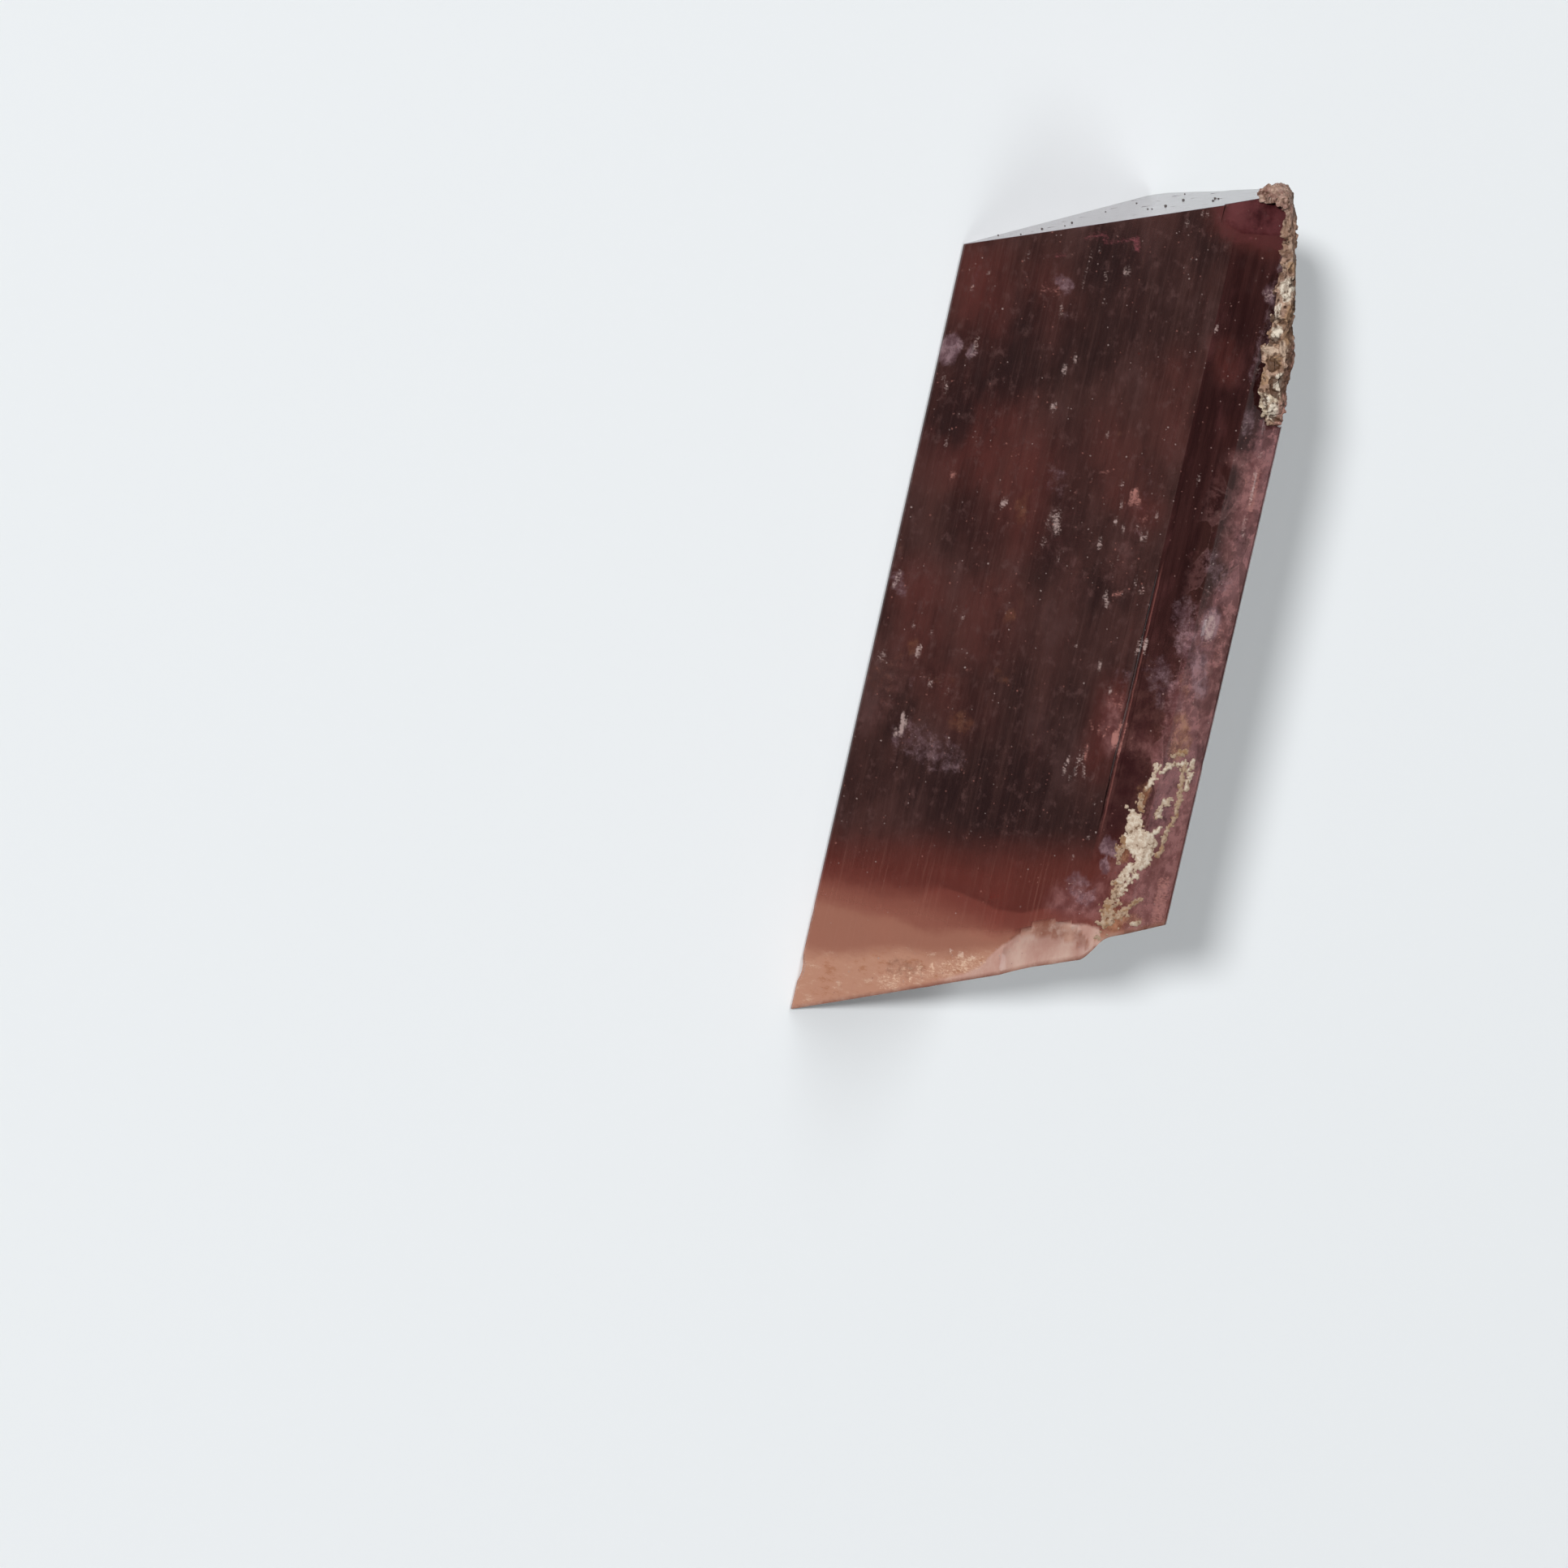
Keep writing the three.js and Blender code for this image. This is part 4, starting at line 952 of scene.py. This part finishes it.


# The clay: cream and ochre clay left in the hollows of the narrow faces, dried to a thin crust
# that stands a little proud of the crystal, with a few small dark grains on the slanting end.
# It stuck there in the ground.
clay_patch = [
    (8.75, 8.15), (8.9, 8.24), (9.13, 8.25), (9.27, 7.96), (9.2, 7.82), (9.45, 7.78), (9.67, 7.7),
    (9.8, 7.58), (9.8, 7.23), (9.8, 6.88), (9.61, 6.61), (9.47, 6.55), (9.37, 6.43), (9.29, 6.49),
    (9.23, 6.34), (9.09, 6.06), (8.97, 5.88), (8.89, 5.94), (8.86, 6.16), (9.03, 6.55),
    (9.18, 6.79), (9.13, 6.98), (8.81, 7.31), (8.75, 7.59), (8.79, 7.85),
]
clay_veins = [
    # points of each vein, half width, how ochre it is
    ([(9.26, 9.39), (9.27, 9.87), (9.48, 9.66), (9.64, 9.86), (10.01, 9.97), (10.35, 10.05)],
     0.07, 0.1),
    ([(9.29, 9.43), (9.11, 9.02)], 0.06, 0.2), ([(9.11, 9.02), (8.98, 8.76), (9.1, 8.36)], 0.07, 1),
    ([(10.31, 10.01), (10.33, 9.66), (10.33, 9.24)], 0.07, 0.1),
    ([(10.11, 9.97), (10.13, 9.42), (10.19, 8.83), (10.18, 8.22), (10.02, 7.78), (10.01, 7.28),
      (9.92, 7.06)], 0.07, 0.8),
    ([(9.91, 8.89), (9.82, 8.75), (9.69, 8.57), (9.65, 8.25)], 0.08, 0.2),
    ([(8.83, 8.31), (8.68, 8.4)], 0.06, 0.1), ([(9.8, 7.96), (9.71, 7.74)], 0.07, 0),
    ([(8.94, 5.95), (8.9, 5.55), (8.86, 5.3)], 0.14, 0.6), ([(8.86, 5.3), (8.84, 4.8)], 0.21, 0.8),
    ([(9.05, 4.98), (9.27, 5.25), (9.52, 5.46), (9.67, 5.65)], 0.06, 0.8),
    ([(9.62, 4.87), (9.82, 4.94)], 0.045, 0.5), ([(8.66, 4.24), (8.72, 4.24)], 0.05, 1.3),
    ([(8.83, 7.42), (8.75, 7.02), (8.88, 6.72)], 0.11, 1),
    ([(9.77, 10.2), (10.06, 10.4)], 0.08, 0.7),
    ([(9.2, 5.0), (9.32, 5.1)], 0.07, 0.6),
    ([(9.08, 5.82), (9.37, 6.32)], 0.1, 0),
]
bpy.ops.object.select_all(action="DESELECT")
bpy.ops.mesh.primitive_grid_add(x_subdivisions=88, y_subdivisions=230, size=2)
clay = bpy.context.object
clay.name = "dried_clay"
# the sheet covers the lower part of the narrow faces: across, up
sheet_middle, sheet_half = (9.6, 7.25), (1.1, 3.35)
u, t = (sheet_middle + np.array(sheet_half) * places(clay)[:, :2]).T


def within(ring):
    """Distance in mm inside a closed outline, negative outside."""
    odd = np.zeros(len(u), bool)
    nearest = np.full(len(u), 9.0)
    for (u0, t0), (u1, t1) in zip(ring, ring[1:] + ring[:1]):
        odd ^= ((t0 > t) != (t1 > t)) & (u < (u1 - u0) * (t - t0) / (t1 - t0 + 1e-12) + u0)
        nearest = np.minimum(nearest, off_segment(u, t, (u0, t0), (u1, t1)))
    return np.where(odd, nearest, -nearest)


depth_in = within(clay_patch)
ochre = np.where(depth_in > 0, 0.0, 0.5)
rough = np.full(len(u), 0.085)
in_vein = np.zeros(len(u), bool)
for line, half, yellow in clay_veins:
    for start, end in zip(line, line[1:]):
        here = half - off_segment(u, t, start, end)
        deeper = here > depth_in
        ochre[deeper], rough[deeper] = yellow, 1.4 * half
        in_vein |= deeper
        depth_in = np.maximum(depth_in, here)
lumpy, crumbly, eaten = (grain(u, t, 0 * u, size, seed)
                         for size, seed in ((0.17, 4.0), (0.075, 9.0), (0.4, 12.0)))
depth_in += rough * (lumpy + crumbly - 0.1) - 0.1 * smooth(eaten, 0.1, 0.45)
proud = 0.012 + 0.022 * np.sqrt(np.clip(depth_in, 0, 0.1) / 0.1)
proud += np.where(in_vein, 1.0, 0.2) * (0.014 * lumpy + 0.012 * crumbly)
crust = np.column_stack([u + 0.25 * proud, front_depth(u) - proud, t])
clay.data.vertices.foreach_set("co", crust.ravel())
written(clay, "ochre", ochre)
written(clay, "thick", depth_in)
faces = [f.vertices[:] for f in clay.data.polygons]
select_only(clay, "FACE", [max(depth_in[list(f)]) < 0 for f in faces])
bpy.ops.mesh.delete(type="FACE")
bpy.ops.mesh.select_all(action="SELECT")
bpy.ops.mesh.normals_make_consistent(inside=False)
bpy.ops.object.mode_set(mode="OBJECT")
if np.mean([f.normal.y for f in clay.data.polygons]) > 0:
    clay.data.flip_normals()
thicken = clay.modifiers.new("thick", "SOLIDIFY")
thicken.thickness = 0.12
thicken.offset = -1
bpy.ops.object.modifier_apply(modifier="thick")


def joined_to(mesh_object):
    """Joins what was just added to an object."""
    mesh_object.select_set(True)
    bpy.context.view_layer.objects.active = mesh_object
    bpy.ops.object.join()


dark_grain_mark = 2.5  # what the grains have in the place of the clay's share of ochre
top_of_clay = 20
for across_mm, into_mm, size in (
    (5.81, 3.24, 0.045), (6.33, 4.6, 0.045), (3.13, 2.1, 0.036), (2.28, 1.4, 0.034),
    (5.3, 3.1, 0.026), (5.42, 2.9, 0.022), (1.03, 1.5, 0.025), (2.93, 1.27, 0.022),
    (1.68, 0.5, 0.022), (7.23, 3.3, 0.04), (7.16, 2.5, 0.036), (7.32, 3.0, 0.03), (4.1, 4.6, 0.02),
    (5.0, 6.3, 0.024), (6.4, 7.1, 0.024),
):
    bpy.ops.mesh.primitive_ico_sphere_add(
        subdivisions=2, radius=size, rotation=(0, 0, across_mm), scale=(1, 1.3, 0.8),
        location=(across_mm, into_mm, end_height_at(across_mm, into_mm) + 0.3 * size))
    joined_to(clay)
tints = clay.data.attributes["ochre"].data
for tint, up in zip(tints, places(clay)[:, 2]):
    if up > top_of_clay:
        tint.value = dark_grain_mark
clay.data.transform(laid_down)
bpy.ops.object.shade_smooth_by_angle(angle=math.radians(50))


def clayey(r, g, b):
    return seen(r, g, b, 0.75)


dry_clay, tree, shader = new_finish("dry_clay")
ochre = kept("ochre")
yellow = plus(ochre, times(minus(clouds(2.4, (1, 1, 1), 5.0, 0.65), 0.5), 2.0))
fine = clouds(12.0, (1, 1, 1), 4.0, 0.7)
blotch = clouds(5.0, (1, 1, 1), 6.0, 0.75, 6.0)
tone = layered(
    blend(ranged(yellow, 0.25, 0.8), clayey(200, 187, 170), clayey(140, 106, 76)),
    (ranged(yellow, 0.8, 1.3), clayey(108, 74, 44)),
    (ranged(kept("thick"), 0.05, -0.02, 0.0, 0.6), clayey(120, 92, 74)),
    (ranged(blotch, 0.58, 0.46, 0.0, 0.75), clayey(164, 142, 122)),
    (ranged(blotch, 0.44, 0.37, 0.0, 0.85), clayey(98, 68, 46)),
    (ranged(fine, 0.5, 0.35, 0.0, 0.3), clayey(120, 96, 76)),
    (ranged(ochre, 1.6, 2.4), clayey(88, 82, 80)),
)
wire(
    shader, Base_Color=tone, Roughness=ranged(fine, 0.3, 0.7, 0.75, 0.95),
    Specular_IOR_Level=0.25,
    Normal=put("ShaderNodeBump", Strength=0.2, Distance=0.00002, Height=fine).outputs[0],
)
clay.data.materials.append(dry_clay)
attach(clay, "root")
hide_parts("tourmaline_crystal")


# The rock rind: a crumbly crust of the pocket rock that the crystal grew against, feldspar and
# clay stained by iron, still fast to the upper part of one corner with a knob over its top.
bpy.ops.object.select_all(action="DESELECT")
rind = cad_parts["rock_rind"].copy()
rind.data = rind.data.copy()
rind.name = "rind_of_rock"
rind.parent = None
rind.matrix_world = Matrix.Identity(4)
bpy.context.collection.objects.link(rind)
rind.data.transform(laid_down.inverted())
rind.select_set(True)
bpy.context.view_layer.objects.active = rind
bpy.ops.object.mode_set(mode="EDIT")
bpy.ops.mesh.select_all(action="SELECT")
bpy.ops.mesh.remove_doubles(threshold=0.001)
bpy.ops.object.mode_set(mode="OBJECT")
for across_mm, up, size in (
    (9.49, 26.76, 0.22), (9.42, 26.42, 0.2), (9.49, 26.02, 0.2), (9.59, 25.62, 0.2),
    (9.67, 25.27, 0.17), (9.77, 24.92, 0.18), (9.83, 24.53, 0.2), (9.85, 24.13, 0.17),
    (9.84, 23.68, 0.2), (9.77, 23.23, 0.2), (9.59, 22.88, 0.17), (9.69, 22.64, 0.2),
    (9.85, 22.24, 0.2), (9.87, 21.89, 0.18), (10.01, 21.54, 0.2), (10.04, 21.19, 0.18),
    (9.47, 25.92, 0.17), (9.49, 24.77, 0.14), (10.08, 20.86, 0.2), (10.3, 20.8, 0.25),
    (10.5, 20.82, 0.24), (10.58, 21.15, 0.14), (10.1, 21.25, 0.2), (9.97, 21.6, 0.2),
    (9.85, 23, 0.16), (9.55, 22.95, 0.15), (9.6, 23.9, 0.14), (9.5, 24.6, 0.12), (8.19, 27.5, 0.13),
    (8.3, 27.55, 0.19), (8.56, 27.68, 0.25), (8.85, 27.68, 0.3), (9.1, 27.5, 0.3),
    (9.05, 27.5, 0.22), (9.3, 27.25, 0.22), (9.5, 26.95, 0.2), (9.5, 26.6, 0.18),
    (9.45, 26.1, 0.14),
):
    into_mm = front_depth(across_mm) + 0.3 * size + 0.35 * (up > 27.3)
    bpy.ops.mesh.primitive_ico_sphere_add(
        subdivisions=2, radius=size, location=(across_mm, into_mm, up),
        rotation=(up, across_mm, 0), scale=(1, 0.8, 1.25))
    joined_to(rind)
finer = rind.modifiers.new("finer", "REMESH")
finer.mode = "VOXEL"
finer.voxel_size = 0.037
bpy.ops.object.modifier_apply(modifier="finer")

u, d, t = places(rind).T
normals = np.array([v.normal[:] for v in rind.data.vertices])


def lumps(size, seed):
    """1 in the middle of a lump and about 0 in the cracks between lumps."""
    found = []
    for p in zip((u + seed).tolist(), d.tolist(), t.tolist()):
        near = noise.voronoi(Vector(p) / size)[0]
        found.append(min(1.0, near[1] - near[0]))
    return np.sqrt(np.array(found))


knob_foot, knob_middle = 27.2, 9.08
swell = sum(height * lumps(size, seed)
            for height, size, seed in ((0.06, 0.5, 0), (0.05, 0.27, 3), (0.03, 0.13, 7)))
for height, size, seed in ((0.05, 0.5, 2.0), (0.03, 0.22, 5.0), (0.02, 0.1, 6.0)):
    swell = swell + height * grain(u, d, t, size, seed)
swell -= 0.09
pits = smooth(grain(u, d, t, 0.3, 8.0), 0.22, 0.4)
pores = smooth(grain(u, d, t, 0.14, 4.0), 0.25, 0.5)
at_knob = smooth(t, 26.5, 27.3)
swell -= (0.13 * pits + 0.045 * pores) * (1 - 0.7 * at_knob)
swell -= 0.1 * smooth(normals[:, 0], 0.2, 0.8) * smooth(u, 9.9, 10.4) * smooth(t, 21.2, 22)
# where it faces the crystal it fills the gap and sinks in a little
gap_filled, sunk_in = 0.1, 0.1
seat_way = Vector(seat_slope).normalized()
end_way, end_steepness = Vector((-0.363, 0.024, 0.932)), 1.073
back_across, back_into = 0.848, 0.530
back_way = Vector((back_across, back_into, 0))
rind_corner = corners[3]
off_end = (t - end_height_at(u, d)) / end_steepness
off_back = back_across * (u - rind_corner[0]) + back_into * (d - rind_corner[1])
for gap, way in ((above(seat_point, seat_way), seat_way), (off_end, end_way), (off_back, back_way)):
    facing = smooth(0.09 - np.abs(gap - gap_filled), 0, 0.04)
    facing *= smooth(-(normals @ np.array(way)), 0.45, 0.9)
    swell += facing * (gap_filled + sunk_in - swell)
u, d, t = u + normals[:, 0] * swell, d + normals[:, 1] * swell, t + normals[:, 2] * swell
# the knob is narrower than the strip below it
u = u + at_knob * (knob_middle + 0.76 * (u - knob_middle) - u)
u -= 0.16 * smooth(u + 0.3 * (t - 27.5), 9.25, 9.6) * smooth(t, 23.5, 25)
t = np.where(t > knob_foot, knob_foot + 0.8 * (t - knob_foot), t)
rind.data.vertices.foreach_set("co", np.column_stack([u, d, t]).ravel())
# painted shade: the rock is darkened in its pits, pores and sunken places
hollow = np.clip(pits + 0.7 * pores + smooth(-swell, 0.05, 0.14), 0, 1)
written(rind, "hollow", hollow * (1 - 0.6 * at_knob))
written(rind, "outer", smooth(u, 10.2, 10.75) * (t < knob_foot))
written(rind, "knob", smooth(t, 26.7, 27.2))
written(rind, "upper", smooth(t, 24.8, 25.8))
written(rind, "foot", smooth(t, 22.3, 21.7) * smooth(u, 10.6, 10.4))
# white feldspar and rusty clay on the side beside the narrow faces, as
# across, up, half width and half height
for name, spots in (
    ("feldspar", ((9.84, 24.85, 0.26, 0.42), (9.84, 23.45, 0.17, 0.32), (10.24, 22.0, 0.17, 0.34),
                  (10.3, 21.1, 0.22, 0.34), (9.72, 24.1, 0.12, 0.3), (10.02, 21.4, 0.12, 0.2))),
    ("rusty", ((10.0, 22.55, 0.3, 0.3), (9.86, 25.5, 0.2, 0.22), (10.12, 24.1, 0.18, 0.4),
               (9.75, 22.0, 0.2, 0.25), (10.25, 23.4, 0.2, 0.35))),
):
    stained = np.zeros(len(u))
    for across_mm, up, wide, tall in spots:
        stained = np.maximum(stained, 1.3 - np.hypot((u - across_mm) / wide, (t - up) / tall))
    written(rind, name, stained * smooth(front_depth(u) + 1.1 - d, 0, 0.5))
rind.data.transform(laid_down)
bpy.ops.object.shade_smooth_by_angle(angle=math.radians(35))


def rocky(r, g, b):
    return seen(r, g, b, 0.8)


rock, tree, shader = new_finish("matrix_rock")
place = standing_place()
speckle = clouds(3.0, (1, 1, 1), 6.0, 0.7, 5.0)
mottle = clouds(7.0, (1, 1, 1), 5.0, 0.75, 9.0)
gritty = clouds(9.0, (1, 1, 1), 6.0, 0.7)
wavy = put("ShaderNodeTexNoise", Vector=place, Scale=2.5, Detail=4.0, Roughness=0.6)
pushed = put("ShaderNodeVectorMath", {"operation": "SCALE"}, _0=wavy.outputs["Color"], Scale=0.28)
warped = put("ShaderNodeVectorMath", {"operation": "ADD"}, _0=place, _1=pushed.outputs[0])
chance = cell_pattern(warped.outputs[0], 2.9)[1]
away, dark_chance = cell_pattern(warped.outputs[0], 6.5)
uneven = minus(speckle, 0.5)
pick = plus(chance[0], times(uneven, 0.6))
uneven = times(uneven, 2.0)
tone = layered(
    blend(ranged(speckle, 0.36, 0.64), rocky(128, 98, 82), rocky(170, 140, 120)),
    (ranged(pick, 0.66, 0.74, 0.0, 0.6), rocky(184, 164, 144)),
    (ranged(pick, 0.3, 0.22, 0.0, 0.6), rocky(136, 105, 80)),
    (times(kept("upper"), ranged(speckle, 0.3, 0.6, 0.9, 0.45)), rocky(126, 98, 84)),
    (times(kept("knob"), 0.8),
     blend(ranged(speckle, 0.35, 0.65), rocky(132, 92, 84), rocky(176, 150, 136))),
    (times(kept("foot"), ranged(chance[1], 0.4, 0.6, 0.0, 0.7)), rocky(196, 184, 162)),
    (ranged(plus(kept("rusty"), uneven), 0.3, 0.65, 0.0, 0.7), rocky(148, 116, 84)),
    (ranged(plus(kept("feldspar"), uneven), 0.3, 0.6, 0.0, 0.9), rocky(204, 194, 178)),
    (times(ranged(kept("outer"), 0.05, 0.6), ranged(speckle, 0.4, 0.6, 0.5, 0.9)),
     rocky(156, 110, 102)),
    (ranged(mottle, 0.5, 0.36, 0.0, 0.5), rocky(108, 80, 64)),
    (ranged(mottle, 0.55, 0.68, 0.0, 0.5), rocky(196, 172, 156)),
    (ranged(from_rim(warped.outputs[0], 2.9), 0.1, 0.02, 0.0, 0.5), rocky(104, 76, 56)),
    (times(times(ranged(away, 0.5, 0.25), ranged(dark_chance[1], 0.58, 0.68)), 0.8),
     rocky(74, 48, 34)),
    # painted shade in the hollows
    (ranged(kept("hollow"), 0.3, 1.0, 0.0, 0.85), rocky(74, 48, 32)),
)
wire(
    shader, Base_Color=tone, Roughness=ranged(speckle, 0.3, 0.7, 0.5, 0.85),
    Specular_IOR_Level=0.3,
    Normal=put("ShaderNodeBump", Strength=0.5, Distance=0.00003, Height=gritty).outputs[0],
)
rind.data.materials.clear()
rind.data.materials.append(rock)
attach(rind, "root")
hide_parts("rock_rind")
